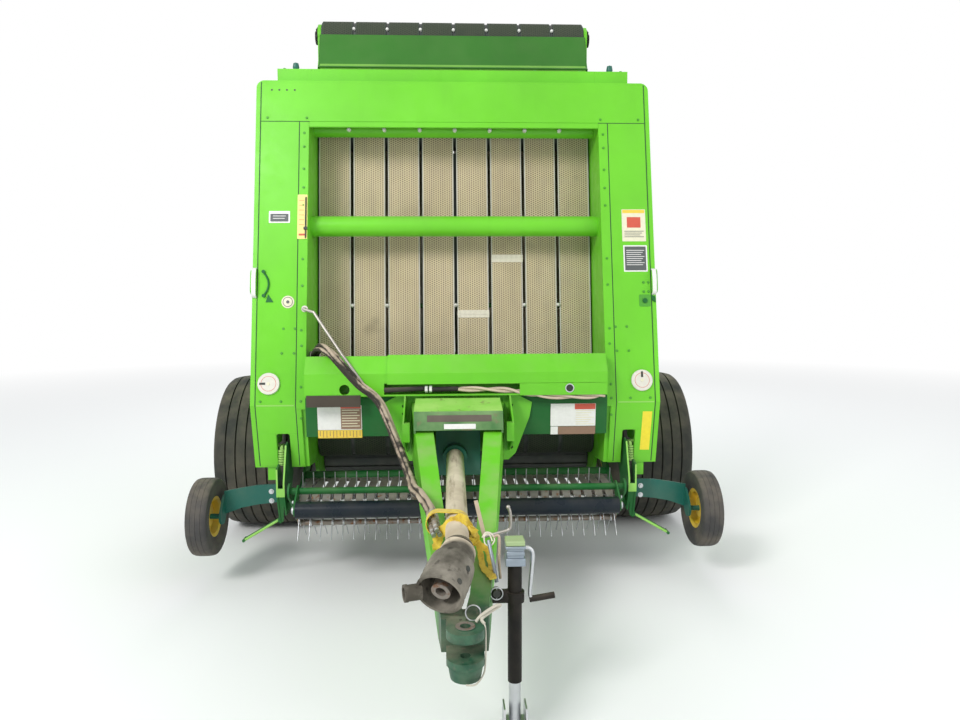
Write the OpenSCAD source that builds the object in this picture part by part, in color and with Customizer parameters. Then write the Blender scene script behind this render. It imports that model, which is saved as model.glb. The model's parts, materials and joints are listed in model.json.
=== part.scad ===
// Round baler with a variable belt chamber, parked on its two wheels and its tongue jack.
// The tongue points to -Y, the rear gate to +Y, and Z is up. Sizes are in millimetres.
// Sections along the machine are drawn in the Y-Z plane with the axle at Y = 0.

/* [Body] */
// Width over the front face
body_w = 2124; // [2040:2:2150]
// Clear width of the bale chamber between its side walls
chamber_w = 1562; // [1500:2:1580]
// Thickness of a chamber side wall
wall_t = 20; // [10:1:22]
// Thickness of the front face and of the side panels
panel_t = 10; // [6:1:14]
// Height of the fold line of the front face
fold_z = 948; // [930:1:965]
// Place of the fold line ahead of the axle
fold_y = -1141; // [-1160:1:-1130]
// Height of the top of the front face
face_top_z = 2664; // [2640:1:2690]
// Height of the lower end of the front face
face_low_z = 612; // [606:1:630]
// Backward lean of the front face above its fold
face_lean = 11.13; // [10:0.01:11.5]
// Backward lean of the front face below its fold
low_lean = 11.5; // [9:0.1:13]
// Radius of the upper corners of the front face
face_corner_r = 42; // [20:1:100]
// Width of the window in the front face
window_w = 1558; // [1480:2:1560]
// Height of the lower edge of the window
window_low_z = 1150; // [1120:1:1180]
// Height of the upper edge of the window
window_top_z = 2408; // [2300:1:2440]
// Diameter of the tube across the window
cross_tube_d = 110; // [80:1:130]
// Height of the tube across the window
cross_tube_z = 1885; // [1700:5:2000]

/* [Belts] */
// Number of belts side by side
belt_count = 8; // [6:1:8]
// Width of one belt
belt_w = 178; // [150:1:184]
// Thickness of a belt
belt_t = 6; // [4:0.5:8]
// Diameter of the rolls that the belts run on
belt_roll_d = 170; // [150:1:176]
// Diameter of the starter roll under the belts
starter_d = 220; // [180:2:230]

/* [Wheels] */
// Outer diameter of a main tyre
tyre_d = 985; // [940:1:1000]
// Width of a main tyre
tyre_w = 546; // [480:2:560]
// Gap between a chamber wall and the main tyre beside it
wheel_gap = 143; // [130:1:170]
// Gap between a main tyre and the panel that arches over it
arch_gap = 30; // [20:1:40]
// Diameter of the main rim at its bead
rim_d = 409; // [380:1:440]
// Outer diameter of a gauge wheel
gauge_d = 400; // [360:2:410]
// Width of a gauge wheel
gauge_w = 110; // [90:2:116]
// Distance from the side of the front face to the gauge wheel beside it
gauge_gap = 188; // [185:1:240]

/* [Pickup] */
// Length of a tine from its bar
tine_len = 145; // [120:1:150]
// Angle by which the tines trail behind the reel's radius
tine_rake = 65; // [50:1:80]
// Radius of the circle of the tine bars
tine_bar_r = 75; // [60:1:78]
// Number of tine bars
tine_bars = 5; // [4:1:6]
// Distance from tine to tine
tine_pitch = 57; // [50:0.5:60]
// Diameter of the tine wire
tine_d = 6; // [4:0.5:7]
// Outer radius of the stripper bands
band_r = 115; // [112:1:125]
// Width of one stripper band
band_w = 40; // [30:1:42]
// Diameter of the windguard roller
guard_roller_d = 84; // [76:1:100]

/* [Tongue] */
// Distance of the hitch pin ahead of the axle
hitch_y = -2690; // [-2720:5:-2660]
// Height of the middle of the hitch clevis
hitch_z = 420; // [410:1:430]
// Diameter of the hitch pin's bore
hitch_bore_d = 34; // [26:1:40]
// Diameter of the drive shaft's guard tube
guard_tube_d = 85; // [75:1:95]
// Diameter of the guard bell at its mouth
bell_d = 156; // [140:1:165]
// Outer diameter of the jack's outer tube
jack_tube_d = 49; // [47:0.5:56]
// Diameter of the jack's leg
jack_leg_d = 41; // [34:0.5:42]
// Diameter of a hydraulic hose
hose_d = 22; // [18:0.5:24]

/* [Gate] */
// Height of the gate's hinge
gate_hinge_z = 2780; // [2770:5:2800]
// Place of the gate's hinge behind the axle
gate_hinge_y = 100; // [90:1:110]
// Half length of the gate's round outline
gate_ry = 900; // [880:5:920]
// Half height of the gate's round outline
gate_rz = 1080; // [1070:5:1090]
// Width of the rim along the edge of a gate wall
gate_rim = 55; // [40:1:65]
// Diameter of a gate cylinder's barrel
barrel_d = 82; // [70:1:90]
// Diameter of a gate cylinder's rod
rod_d = 45; // [35:1:50]

/* [Side doors] */
// Height of the lower edge of a side door
door_low_z = 1060; // [1055:1:1080]
// Height of the upper edge of a side door
door_top_z = 2590; // [2500:5:2610]
// Gap between a door and the panels round it
door_gap = 8; // [6:0.5:12]

/* [Hidden] */
$fn = 64;
slack = 0.3;
pin_slack = 0.5;
arc_step = 7.5;
chamber_x = chamber_w / 2;
wall_out_x = chamber_x + wall_t;
body_x = body_w / 2;
split_y = 150;
front_y = hitch_y - 60;
rear_y = 480 + gate_ry;
// Free width at each edge of a set of belts
belt_margin = 1;
belt_pitch = (chamber_w - 2 * belt_margin) / belt_count;
track_w = 2 * (wall_out_x + wheel_gap) + tyre_w;
gauge_track = 2 * (body_x + gauge_gap) + gauge_w;
frame_y = -(front_y + rear_y) / 2;

// Place of the front face's outer side at a height
function face_y(z) = z >= fold_z
    ? fold_y + (z - fold_z) * tan(face_lean)
    : fold_y + (fold_z - z) * tan(low_lean);

// Rolls that the front belts run round, as [y, z]: top, upper front, lower front, upper rear
top_roll = [-324, 3050];
front_rolls = [top_roll, [-505, 2440], [-741, 690], [-110, 2690]];
// Rolls that the gate's belts run round, as [y, z]: lower, rear lower, rear upper, upper
gate_rolls = [[262, 650], [1130, 1330], [1080, 2300], [330, 2620]];
belt_roll_r = belt_roll_d / 2;
roll_shaft_r = 22;

starter_at = [-560, 560];
floor_roll_at = [-270, 560];
reel_at = [-1060, 385];
guard_roller_at = [-1330, 454];
guard_tube_at = [-1242, 527];
pickup_tube_at = [-836, 500];
pickup_pivot = [-640, 625];
gauge_at = [-1110, 365];
pickup_plate_x = wall_out_x + 44;
pickup_plate_t = 10;
// Arms of the windguard roller, inside the pickup's plates
guard_arm_x = chamber_x + 23;
guard_arm_t = 8;
pickup_pin_r = 20;
starter_shaft_r = 25;
reel_shaft_r = 25;
roller_shaft_r = 12;
gate_pin_r = 30;
eye_half = 30;
lug_t = 12;
door_hinge_y = 102;
door_hinge_x = body_x - panel_t / 2;
door_pin_r = 6;
door_rear_y = door_hinge_y - 6;
// Front side of the post that carries the door
post_x = body_x - 62;
post_w = 36;
// Two plates of each lift bracket, on both sides of a float spring
bracket_x = pickup_plate_x + 40;
bracket_t = 8;
bracket_gap = 26;
bracket_out_x = bracket_x + bracket_t + bracket_gap;
clevis_top_z = hitch_z + 60;
jaw_t = 30;
jaw_gap = 62;
jaw_low_t = 68;
flange_depth = 62;
// Slots beside the mouth for the brackets and the float springs
slot_x = bracket_x + bracket_t + bracket_gap / 2;
slot_w = 68;
slot_top_z = 795;
slot_r = 12;
axle_z = tyre_d / 2;
axle_box = 110;

gate_wall_t = 18;
gate_gap = 6;
gate_in_x = wall_out_x + gate_gap;
gate_out_x = gate_in_x + gate_wall_t;
gate_mid = [480, 1690];

cyl_x = gate_out_x + 105;
cyl_low = [-50, 1500];
cyl_top = [500, 2650];
cyl_dy = cyl_top[0] - cyl_low[0];
cyl_dz = cyl_top[1] - cyl_low[1];
cyl_len = norm([cyl_dy, cyl_dz]);
cyl_angle = atan2(cyl_dz, cyl_dy);
cyl_pin_r = 20;
cyl_eye_r = 34;
barrel_len = 840;

// Everything is drawn round the axle and carried to the middle of the machine's length
module place() {
    translate([0, frame_y, 0]) children();
}

// A shape drawn in Y-Z, t thick, from x0 towards +X
module side_plate(x0, t) {
    translate([x0, 0, 0]) rotate([90, 0, 90]) linear_extrude(t) children();
}

// A shape drawn in X-Z, cut through the whole length of the machine
module front_cut(y0, length) {
    translate([0, y0 + length, 0]) rotate([90, 0, 0]) linear_extrude(length) children();
}

// A round bar along X, centred on x at a point [y, z]
module bar_x(at, r, length, x = 0) {
    translate([x, at[0], at[1]]) rotate([0, 90, 0]) cylinder(r = r, h = length, center = true);
}

// A round bar between two points
module bar(a, b, r) {
    d = b - a;
    translate(a)
        rotate([0, acos(d[2] / norm(d)), atan2(d[1], d[0])])
            cylinder(r = r, h = norm(d));
}

// A cone between two points
module cone_bar(a, b, r1, r2) {
    d = b - a;
    translate(a)
        rotate([0, acos(d[2] / norm(d)), atan2(d[1], d[0])])
            cylinder(r1 = r1, r2 = r2, h = norm(d));
}

module both_sides() {
    children();
    mirror([1, 0, 0]) children();
}

// The side s is +1 on the right and -1 on the left
module on_side(s) {
    if (s > 0) children();
    else mirror([1, 0, 0]) children();
}

// Direction of the side that leaves corner i of a closed row of points
function side_angle(points, i) =
    let (n = len(points), d = points[(i + 1) % n] - points[i % n]) atan2(d[1], d[0]);

// Arc of radius r round corner i, from the side that comes in to the side that goes out
function corner_arc(points, i, r) =
    let (
        start = side_angle(points, i + len(points) - 1) - 90,
        turn = (side_angle(points, i) - start - 90 + 720) % 360,
        steps = ceil(turn / arc_step)
    )
    [for (k = [0:steps]) points[i] + r * [cos(start + turn * k / steps), sin(start + turn * k / steps)]];

// Outline round a row of equal circles that runs anticlockwise, as a belt lies on its rolls
module round_loop(points, r) {
    polygon([for (i = [0:len(points) - 1]) each corner_arc(points, i, r)]);
}

// Plate outline that is a bar with round ends between two points
module link_shape(a, b, r) {
    round_loop([a, b], r);
}

// One set of belts on its rolls
module belts(points) {
    for (i = [0:belt_count - 1])
        side_plate((i - belt_count / 2 + 0.5) * belt_pitch - belt_w / 2, belt_w)
            difference() {
                round_loop(points, belt_roll_r + slack + belt_t);
                round_loop(points, belt_roll_r + slack);
            }
}

// Outline of the chamber's side wall
module root_wall_shape() {
    inset = panel_t + slack;
    difference() {
        union() {
            polygon([
                [face_y(face_low_z) + inset, face_low_z],
                [fold_y + inset, fold_z],
                [face_y(face_top_z) + inset, face_top_z],
                [rail_y, face_top_z], [rail_y, rail_top_z], [-640, 2750], [-480, 2760],
                [-440, 2820], [-396, 2900], [-396, top_roll[1]],
                [-252, top_roll[1]], [-200, 2960], [-100, 2850],
                [gate_hinge_y, gate_hinge_z + 60],
                [split_y, gate_hinge_z],
                [split_y, 425], [-120, 425], [-500, 440], [-755, 470], [-820, 590]
            ]);
            translate(top_roll) circle(r = 75);
            translate([gate_hinge_y, gate_hinge_z]) circle(r = 60);
        }
        for (p = front_rolls) translate(p) circle(r = roll_shaft_r + slack);
        translate(starter_at) circle(r = starter_shaft_r + pin_slack);
        translate(floor_roll_at) circle(r = roll_shaft_r + slack);
        translate([gate_hinge_y, gate_hinge_z]) circle(r = gate_pin_r + slack);
        // Room for the folded top edge of the front face
        translate([face_y(face_top_z) - 5, face_top_z - panel_t - slack])
            square([flange_depth + 5 + slack, panel_t + 2 * slack]);
        translate([-axle_box / 2 - slack, axle_z - axle_box / 2 - slack])
            square(axle_box + 2 * slack);
        translate([face_y(cross_tube_z) + 130, cross_tube_z]) circle(r = cross_tube_d / 2 + slack);
    }
}

// Room in a side panel for the main wheel under it
module wheel_arch() {
    translate([0, axle_z]) circle(r = tyre_d / 2 + arch_gap);
}

// Chamber wall with the pins of the pickup and of the gate cylinder
module side_wall(s) {
    color("limegreen") on_side(s) {
        side_plate(chamber_x, wall_t) root_wall_shape();
        bar([wall_out_x - 1, pickup_pivot[0], pickup_pivot[1]],
            [pickup_plate_x + pickup_plate_t + 12, pickup_pivot[0], pickup_pivot[1]], pickup_pin_r);
        bar([wall_out_x - 1, cyl_low[0], cyl_low[1]], [cyl_x + 42, cyl_low[0], cyl_low[1]], cyl_pin_r);
        bar([wall_out_x - 1, cyl_low[0], cyl_low[1]],
            [cyl_x - eye_half - pin_slack, cyl_low[0], cyl_low[1]], cyl_eye_r);
    }
}

// Side section of a sheet that follows the front face, from depth a to depth b behind it
module face_section(a, b) {
    polygon([
        [face_y(face_low_z) + a, face_low_z], [fold_y + a, fold_z], [face_y(face_top_z) + a, face_top_z],
        [face_y(face_top_z) + b, face_top_z], [fold_y + b, fold_z], [face_y(face_low_z) + b, face_low_z]
    ]);
}

// Outline of the front face seen from ahead, inset by i
module face_outline(i) {
    r = face_corner_r - i;
    x = body_x - i;
    top = face_top_z - i;
    translate([-x, face_low_z - 50]) square([2 * x, top - r - face_low_z + 50]);
    translate([-x + r, top - r - 10]) square([2 * x - 2 * r, r + 10]);
    for (side = [-1, 1]) translate([side * (x - r), top - r]) circle(r = r);
}

// A shape drawn in X-Z, cut through the front face
module face_cut() {
    front_cut(fold_y - 259, 800) children();
}

// Front face with its folded edges, the window and the mouth above the pickup
module front_face() {
    color("limegreen") difference() {
        union() {
            intersection() {
                side_plate(-body_x, body_w) face_section(0, panel_t);
                face_cut() face_outline(0);
            }
            intersection() {
                side_plate(-body_x, body_w) face_section(0, flange_depth);
                difference() {
                    face_cut() face_outline(0);
                    face_cut() face_outline(panel_t);
                }
            }
        }
        face_cut()
            translate([-window_w / 2, window_low_z]) square([window_w, window_top_z - window_low_z]);
        face_cut()
            translate([-wall_out_x, face_low_z - 60]) square([2 * wall_out_x, fold_z - 20 - face_low_z + 60]);
        // Slots for the float springs beside the mouth, open below
        for (side = [-1, 1])
            face_cut() translate([side * slot_x, 0]) slot_outline();
    }
}

// Slot with round upper corners, round X = 0
module slot_outline() {
    half = slot_w / 2;
    corner_z = slot_top_z - slot_r;
    translate([-half, face_low_z - 60]) square([slot_w, corner_z - face_low_z + 60]);
    translate([slot_r - half, corner_z - 1]) square([slot_w - 2 * slot_r, slot_r + 1]);
    for (side = [-1, 1]) translate([side * (half - slot_r), corner_z]) circle(r = slot_r);
}

module cross_tube() {
    color("limegreen")
        bar_x([face_y(cross_tube_z) + 130, cross_tube_z], cross_tube_d / 2, chamber_w + 2 * wall_t - 1);
}

beam_back_y = fold_y - slack;
// Rail across the front edge of the roof
rail_y = -738;
rail_t = 40;
rail_top_z = 2745;

// Folded cross member below the window, with the cover of its middle part
module lower_beam() {
    color("limegreen") difference() {
        union() {
            side_plate(-770, 1540) polygon([
                [face_y(1190) - slack, 1195], [-1160, 1200], [-1215, 1115], [-1215, 1000],
                [-1205, 1000], [-1205, 1110], [-1155, 1190], [face_y(1190) - slack, 1185]
            ]);
            side_plate(-770, 1540) polygon([
                [-1215, 1000], [face_y(1000) - slack, 1000], [face_y(1008) - slack, 1008], [-1215, 1008]
            ]);
            for (x = [-770, 760]) side_plate(x, 10) polygon([
                [face_y(1190) - slack, 1195], [-1160, 1200], [-1215, 1115], [-1215, 1000],
                [face_y(1000) - slack, 1000]
            ]);
        }
        translate([-570, -1230, 1035]) rotate([-90, 0, 0]) cylinder(d = 52, h = 40);
        // Opening below the cover
        translate([cover_x[0] - 17, -1230, 1008]) cube([1100, 30, cover_low_z - 1004]);
    }
    // Raised cover of the middle part
    color("limegreen") side_plate(cover_x[0], cover_x[1] - cover_x[0]) polygon([
        [-1160 - slack, 1200 + slack], [-1163, 1206], [-1224, 1117], [-1224, cover_low_z],
        [-1215 - slack, cover_low_z], [-1215 - slack, 1115]
    ]);
    // Strap below the cover on the left
    color("limegreen") translate([-760, -1220, 949]) cube([270, 5 - slack, 60]);
}

// Ends of the raised cover along X, and the height of its lower edge
cover_x = [-354, 764];
cover_low_z = 1061;

// Panels on both sides of the tongue, below the cross member
module lower_panel() {
    color("forestgreen") both_sides()
        side_plate(270, 510) polygon([
            [face_y(960) - slack - 8, 985], [fold_y - slack, 985], [fold_y - slack, fold_z], [-1126, 790],
            [-1060, 775], [-1060, 767], [-1134, 782], [fold_y - slack - 8, fold_z]
        ]);
}

sill_h = 36;
foot_w = 50;
foot_z = 541;
foot_x = slot_x + slot_w / 2 + 10;

// Post, arms, skirt with its wheel arch and roof of the drive compartment on one side
module side_frame(s) {
    skirt_top = door_low_z - door_gap;
    sill_z = skirt_top - sill_h;
    roof_z = face_top_z - 20;
    inner_x = body_x - panel_t;
    y0 = flange_depth + 2;
    color("limegreen") on_side(s) {
        side_plate(inner_x, panel_t) difference() {
            polygon([
                [face_y(face_low_z) + y0, face_low_z], [fold_y + y0, fold_z],
                [face_y(skirt_top) + y0, skirt_top], [130, skirt_top], [130, sill_z - 26],
                [-300, 640], [-800, 640]
            ]);
            wheel_arch();
        }
        side_plate(inner_x, panel_t) polygon([
            [face_y(door_top_z + door_gap) + y0, door_top_z + door_gap],
            [face_y(roof_z) + y0, roof_z],
            [130, roof_z], [130, door_top_z + door_gap]
        ]);
        // Roof between the chamber wall and the side panel, with the rail at its front edge
        translate([wall_out_x + slack, face_y(face_top_z) + y0, roof_z])
            cube([body_x - wall_out_x - slack, 130 - face_y(face_top_z) - y0, 8]);
        translate([wall_out_x + slack, rail_y, roof_z + 7])
            cube([body_x - 97 - wall_out_x, rail_t, rail_top_z - roof_z - 7]);
        // Post that carries the door, and its arms from the wall
        translate([post_x, 60, sill_z]) cube([post_w, post_w, roof_z - sill_z]);
        for (z = [sill_z, 1500, 2200])
            translate([wall_out_x + slack, 64, z]) cube([post_x - wall_out_x, 28, sill_h]);
        translate([post_x, 60, sill_z]) cube([inner_x - post_x + 1, post_w, sill_h]);
        // Brace of the skirt ahead of the wheel
        translate([wall_out_x + slack, -700, 900]) cube([inner_x - wall_out_x - slack + 1, 40, 28]);
        // Square tube behind the face, beside the slot of the float spring
        translate([foot_x, face_y(face_low_z) + panel_t + 1, foot_z]) {
            difference() {
                cube([foot_w, foot_w, 250]);
                translate([5, 5, -1]) cube([foot_w - 10, foot_w - 10, 252]);
            }
            translate([foot_w - 1, 0, 160]) cube([inner_x - foot_x - foot_w + 1 - slack, 30, 40]);
        }
        // Hinge pin of the door, from the skirt to the roof's edge
        translate([door_hinge_x, door_hinge_y, skirt_top - 2])
            cylinder(r = door_pin_r, h = door_top_z + door_gap + 4 - skirt_top);
    }
}

// Cross tubes that join the two chamber walls at the top
module top_frame() {
    color("limegreen") {
        bar_x([0, 2830], 38, chamber_w - 2 * slack);
        bar_x([-680, window_top_z + 24], 40, chamber_w - 2 * slack);
        translate([-chamber_x + slack, rail_y, face_top_z + 8])
            cube([chamber_w - 2 * slack, rail_t, rail_top_z - face_top_z - 8]);
        bar_x([gate_hinge_y, gate_hinge_z], gate_pin_r, 2 * (gate_out_x + 12));
    }
}

// Sheet ahead of the top roll, with its lower lip and an end plate on each wall
module upper_shield() {
    half = chamber_x - 6;
    color("forestgreen") {
        side_plate(-half, 2 * half) polygon([
            [-447, 3030], [-512, 2842], [-544, 2818], [-541, 2813], [-507, 2838], [-441, 3028]
        ]);
        both_sides() side_plate(half - 1, 7 - slack) polygon([
            [-444, 3029], [-509, 2840], [-541, 2816], [-480, 2790], [-400, 2800], [-400, 2900], [-430, 2960]
        ]);
    }
}

module belts_front() {
    color("dimgray") belts(front_rolls);
}

module belt_roll(at, half) {
    bar_x(at, belt_roll_r, 2 * half);
    bar_x(at, roll_shaft_r, 2 * half + 2 * wall_t);
}

module belt_rolls_front() {
    color("darkgray") {
        for (p = front_rolls) belt_roll(p, chamber_x - 4);
        bar_x(floor_roll_at, 105, chamber_w - 8);
        bar_x(floor_roll_at, roll_shaft_r, chamber_w + wall_t);
    }
}

module floor_pan() {
    color("forestgreen") side_plate(-chamber_x + slack, chamber_w - 2 * slack) polygon([
        [-150, 610], [-140, 640], [60, 668], [150, 668], [150, 662], [60, 660], [-132, 632], [-142, 608]
    ]);
}

module axle() {
    color("limegreen") {
        translate([-1075, -axle_box / 2, axle_z - axle_box / 2]) cube([2150, axle_box, axle_box]);
        bar_x([0, axle_z], 32, track_w + 190);
    }
}

// Half height of a tongue beam at the hitch
beam_half_h = 55;

// Side section of a tongue beam
module tongue_side() {
    polygon([
        [-1150, 700], [-1150, 960], [-1500, 850], [-2050, 615], [-2350, 540], [-2620, hitch_z + beam_half_h],
        [-2620, hitch_z - beam_half_h], [-2520, hitch_z - beam_half_h], [-1500, 620]
    ]);
}

// Two beams that meet at the hitch, their cross plates and the clevis
module tongue() {
    color("limegreen") {
        both_sides() intersection() {
            side_plate(0, 400) tongue_side();
            translate([0, 0, 300]) linear_extrude(800) polygon([
                [150, -1150], [240, -1150], [76, -2620], [8, -2620], [8, -2560], [20, -2500]
            ]);
        }
        // Root plates and gussets that carry the beams below the cross member
        both_sides() {
            translate([150, beam_back_y - 10, 700]) cube([110, 10, 299]);
            side_plate(262, 8)
                polygon([[-1150, 700], [-1150, 999], [-1215, 999], [-1400, 890], [-1400, 800]]);
            side_plate(235, 30) polygon([[-1400, 800], [-1400, 890], [-1380, 894], [-1380, 796]]);
        }
        translate([-150, beam_back_y - 10, 700]) cube([300, 10, 299]);
        both_sides() translate([0, beam_back_y - 10, 0]) rotate([90, 0, 0]) linear_extrude(8) difference() {
            polygon([
                [235, 999], [235, 655], [262, 655], [300, 690], [372, 880], [385, 955], [300, 999]
            ]);
            for (z = [720, 760, 900, 940]) translate([278, z]) circle(d = 17);
        }
        hitch_clevis();
    }
}

clevis_w = 120;
clevis_rear_y = -2560;

// Cast clevis: a plain upper jaw, and a deep lower jaw that narrows downward
module hitch_clevis() {
    low_z = clevis_top_z - jaw_t - jaw_gap - jaw_low_t;
    taper_h = jaw_low_t - 20;
    difference() {
        union() {
            translate([0, 0, clevis_top_z - jaw_t]) linear_extrude(jaw_t) clevis_outline();
            translate([0, 0, low_z + jaw_low_t - 24]) linear_extrude(24) clevis_outline();
            translate([0, hitch_y, low_z])
                cylinder(r1 = clevis_w / 2 - 12, r2 = clevis_w / 2 - 3, h = taper_h);
            translate([12 - clevis_w / 2, hitch_y, low_z])
                cube([clevis_w - 24, clevis_rear_y - hitch_y, taper_h]);
            translate([-clevis_w / 2, -2622, low_z]) cube([clevis_w, 22, clevis_top_z - low_z]);
            translate([0, hitch_y, clevis_top_z - 1]) cylinder(r = hitch_bore_d / 2 + 14, h = 4);
        }
        translate([0, hitch_y, low_z - 1]) cylinder(d = hitch_bore_d, h = clevis_top_z - low_z + 6);
    }
}

// Outline of a clevis jaw seen from above
module clevis_outline() {
    translate([-clevis_w / 2, hitch_y]) square([clevis_w, clevis_rear_y - hitch_y]);
    translate([0, hitch_y]) circle(d = clevis_w);
}

module tongue_hood() {
    color("limegreen") {
        side_plate(-212, 424) polygon([
            [-1245, 992], [-1450, 958], [-1484, 872], [-1478, 870], [-1445, 952], [-1245, 986]
        ]);
        // Cheeks that stand on the beams
        both_sides() side_plate(202, 10) polygon([
            [-1245, 990], [-1448, 956], [-1481, 872], [-1478, 857.3], [-1245, 930.4]
        ]);
    }
}

module gearbox() {
    color("darkgreen") {
        translate([-110, -1290, 610]) cube([220, beam_back_y - 10 - slack + 1290, 240]);
        bar([guard_start[0], -1289, 714], guard_start + [0, slack, 0], 60);
    }
}

guard_start = [-17, -1340, 711];
guard_end = [-20, -2490, 640];
bell_end = [-80, -2645, 566];
guard_wall = 5;
bell_throat_r = 58;
shaft_r = 24;
guard_run = (guard_end - guard_start) / norm(guard_end - guard_start);
bell_run = (bell_end - guard_end) / norm(bell_end - guard_end);

// Guard tube of the drive shaft, with the bell over its joint
module drive_guard() {
    color("tan") difference() {
        union() {
            bar(guard_start, guard_end, guard_tube_d / 2);
            cone_bar(guard_end - bell_run * 20, bell_end, bell_throat_r, bell_d / 2);
        }
        bar(guard_start - guard_run, guard_end + guard_run * 10, guard_tube_d / 2 - guard_wall);
        cone_bar(guard_end - bell_run * 12, bell_end + bell_run,
            bell_throat_r - guard_wall, bell_d / 2 - guard_wall);
    }
}

// Shaft inside the guard, with the inner fork of its joint
module drive_shaft() {
    color("dimgray") {
        bar(guard_start + guard_run * slack, guard_end - guard_run * 45, shaft_r);
        bar(guard_end - guard_run * 60, guard_end - guard_run * (joint_r + slack), shaft_r + 8);
    }
}

joint_r = 22;
yoke_bore_r = 17.5;
yoke_start = guard_end + bell_run * 62;
yoke_end = bell_end - bell_run * 12;

// Outer fork with the bore that goes over the tractor's shaft
module drive_yoke() {
    color("dimgray") difference() {
        union() {
            translate(guard_end) sphere(r = joint_r);
            bar(guard_end, yoke_start + bell_run, joint_r - 4);
            bar(yoke_start, yoke_end, 32);
            bar(yoke_start, yoke_start + bell_run * 40, 42);
        }
        bar(yoke_start + bell_run * 30, yoke_end + bell_run, yoke_bore_r);
    }
}

jack_at = [177, -2440];
jack_low_z = 165;
jack_head_z = 585;

// Crank of the jack, as distances from its axis: shaft, elbow, foot of the arm, and end of the grip
crank = [[30, 0, 640], [62, 0, 632], [52, -4, 458], [138, -4, 472]];

module jack_tube() {
    at = [jack_at[0], jack_at[1], 0];
    tube_h = jack_head_z - jack_low_z;
    color("black") {
        difference() {
            translate(at + [0, 0, jack_low_z]) cylinder(d = jack_tube_d, h = tube_h);
            translate(at + [0, 0, jack_low_z - 5]) cylinder(d = jack_leg_d + 1, h = tube_h - 15);
        }
        // Head in three steps, as [half width, lower height, upper height]
        for (step = [[34, jack_head_z, 614], [30, 613, 646], [35, 645, 674]])
            translate(at + [-step[0], -step[0], step[1]]) cube([2 * step[0], 2 * step[0], step[2] - step[1]]);
        bar([99.2, jack_at[1], 470], at + [4 - jack_tube_d / 2, 0, 470], 24);
        bar(at + crank[0] - [5, 0, 0], at + crank[1], 7);
        bar(at + crank[1], at + crank[2], 7);
        bar(at + crank[2] - [5, 0, 0], at + crank[3], 11);
        translate(at + crank[1]) sphere(r = 7);
    }
}

module jack_leg() {
    color("silver") {
        translate([jack_at[0], jack_at[1], 7]) cylinder(d = jack_leg_d, h = 393);
        translate([jack_at[0] - 41, jack_at[1] - 52, 0]) cube([82, 104, 8]);
        for (side = [-1, 1]) translate([jack_at[0] + side * 38 - 3, jack_at[1], 0]) rotate([90, 0, 90])
            linear_extrude(6) polygon([[-52, 0], [52, 0], [52, 40], [34, 78], [-34, 78], [-52, 40]]);
    }
}

// Guide rod of the hoses: foot on the face, hook, bend above the cross member, and lower end
guide_rod = [[-790, 0, 1440], [-733, -1110, 1424], [-577, -1200, 1206], [-414, -1262, 990]];

// Pressure and shape dials, the bale size scale and the door catches on the front face
module face_fittings() {
    color("white") both_sides()
        translate([body_x - 94, face_y(1056) - slack, 1056]) rotate([90 - face_lean, 0, 0])
            cylinder(d = dial_d, h = 14);
    color("gold") side_plate(-830, 36) polygon([
        [face_y(1801) - slack - 4, 1801], [face_y(2045) - slack - 4, 2045],
        [face_y(2045) - slack, 2045], [face_y(1801) - slack, 1801]
    ]);
    // Guide rod of the hoses, from the face to the cross member
    color("gray") {
        foot = [guide_rod[0][0], face_y(guide_rod[0][2]) - 2.5, guide_rod[0][2]];
        bar(foot, foot - [0, 40, 0], guide_rod_r);
        bar(foot - [0, 40, 0], guide_rod[1], guide_rod_r);
        bar(guide_rod[1], guide_rod[2], guide_rod_r);
        bar(guide_rod[2], guide_rod[3], guide_rod_r);
        for (p = [foot - [0, 40, 0], guide_rod[1], guide_rod[2]]) translate(p) sphere(r = guide_rod_r);
        translate([guide_rod[3][0] - 10, guide_rod[3][1], 990]) cube([20, 52, 10 - slack]);
    }
}

dial_d = 112;
guide_rod_r = 8;

// Places along the three hoses, from the left wall over the guide rod to the strap on the tongue
hose_route = [
    [-750, -1000, 1190], [-738, -1060, 1212], [-700, -1150, 1243], [-640, -1235, 1231], [-560, -1262, 1145],
    [-487, -1280, 1068], [-389, -1300, 985], [-308, -1395, 830], [-222, -1650, 700], [-195, -1850, 696],
    [-160, -1980, 702], [-122, -2124, 692], [-106, -2205, 666]
];
// Rings of a hose between two places of its route
hose_rings = 3;
hose_sides = 8;

// Point at a share t between b and c of a smooth line that runs through a, b, c and d
function smooth_point(a, b, c, d, t) =
    0.5 * (2 * b + (c - a) * t + (2 * a - 5 * b + 4 * c - d) * t * t + (3 * b - a - 3 * c + d) * t * t * t);

function smooth_line(p, n) =
    let (last = len(p) - 1)
    [for (i = [0:last - 1]) each [for (k = [0:n - 1])
        smooth_point(p[max(i - 1, 0)], p[i], p[i + 1], p[min(i + 2, last)], k / n)], p[last]];

// Direction of a line of points at point i
function line_dir(p, i) =
    let (d = p[min(i + 1, len(p) - 1)] - p[max(i - 1, 0)]) d / norm(d);

// Ring of n points round a line at its point i, at radius r, with its first point at an angle
function ring(p, i, r, n, angle = 0) =
    let (u = line_dir(p, i), side = cross(u, [1, 0, 0]) / norm(cross(u, [1, 0, 0])), up = cross(side, u))
    [for (k = [0:n - 1]) p[i] + r * (cos(angle + 360 * k / n) * side + sin(angle + 360 * k / n) * up)];

// Round tube of radius r swept along a line of points
module swept_tube(p, r, n) {
    rings = [for (i = [0:len(p) - 1]) each ring(p, i, r, n)];
    last = n * (len(p) - 1);
    polyhedron(rings, concat(
        [[for (k = [0:n - 1]) k]],
        [for (i = [0:len(p) - 2], k = [0:n - 1])
            [i * n + k, i * n + (k + 1) % n, (i + 1) * n + (k + 1) % n, (i + 1) * n + k]],
        [[for (k = [n - 1:-1:0]) last + k]]
    ));
}

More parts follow.
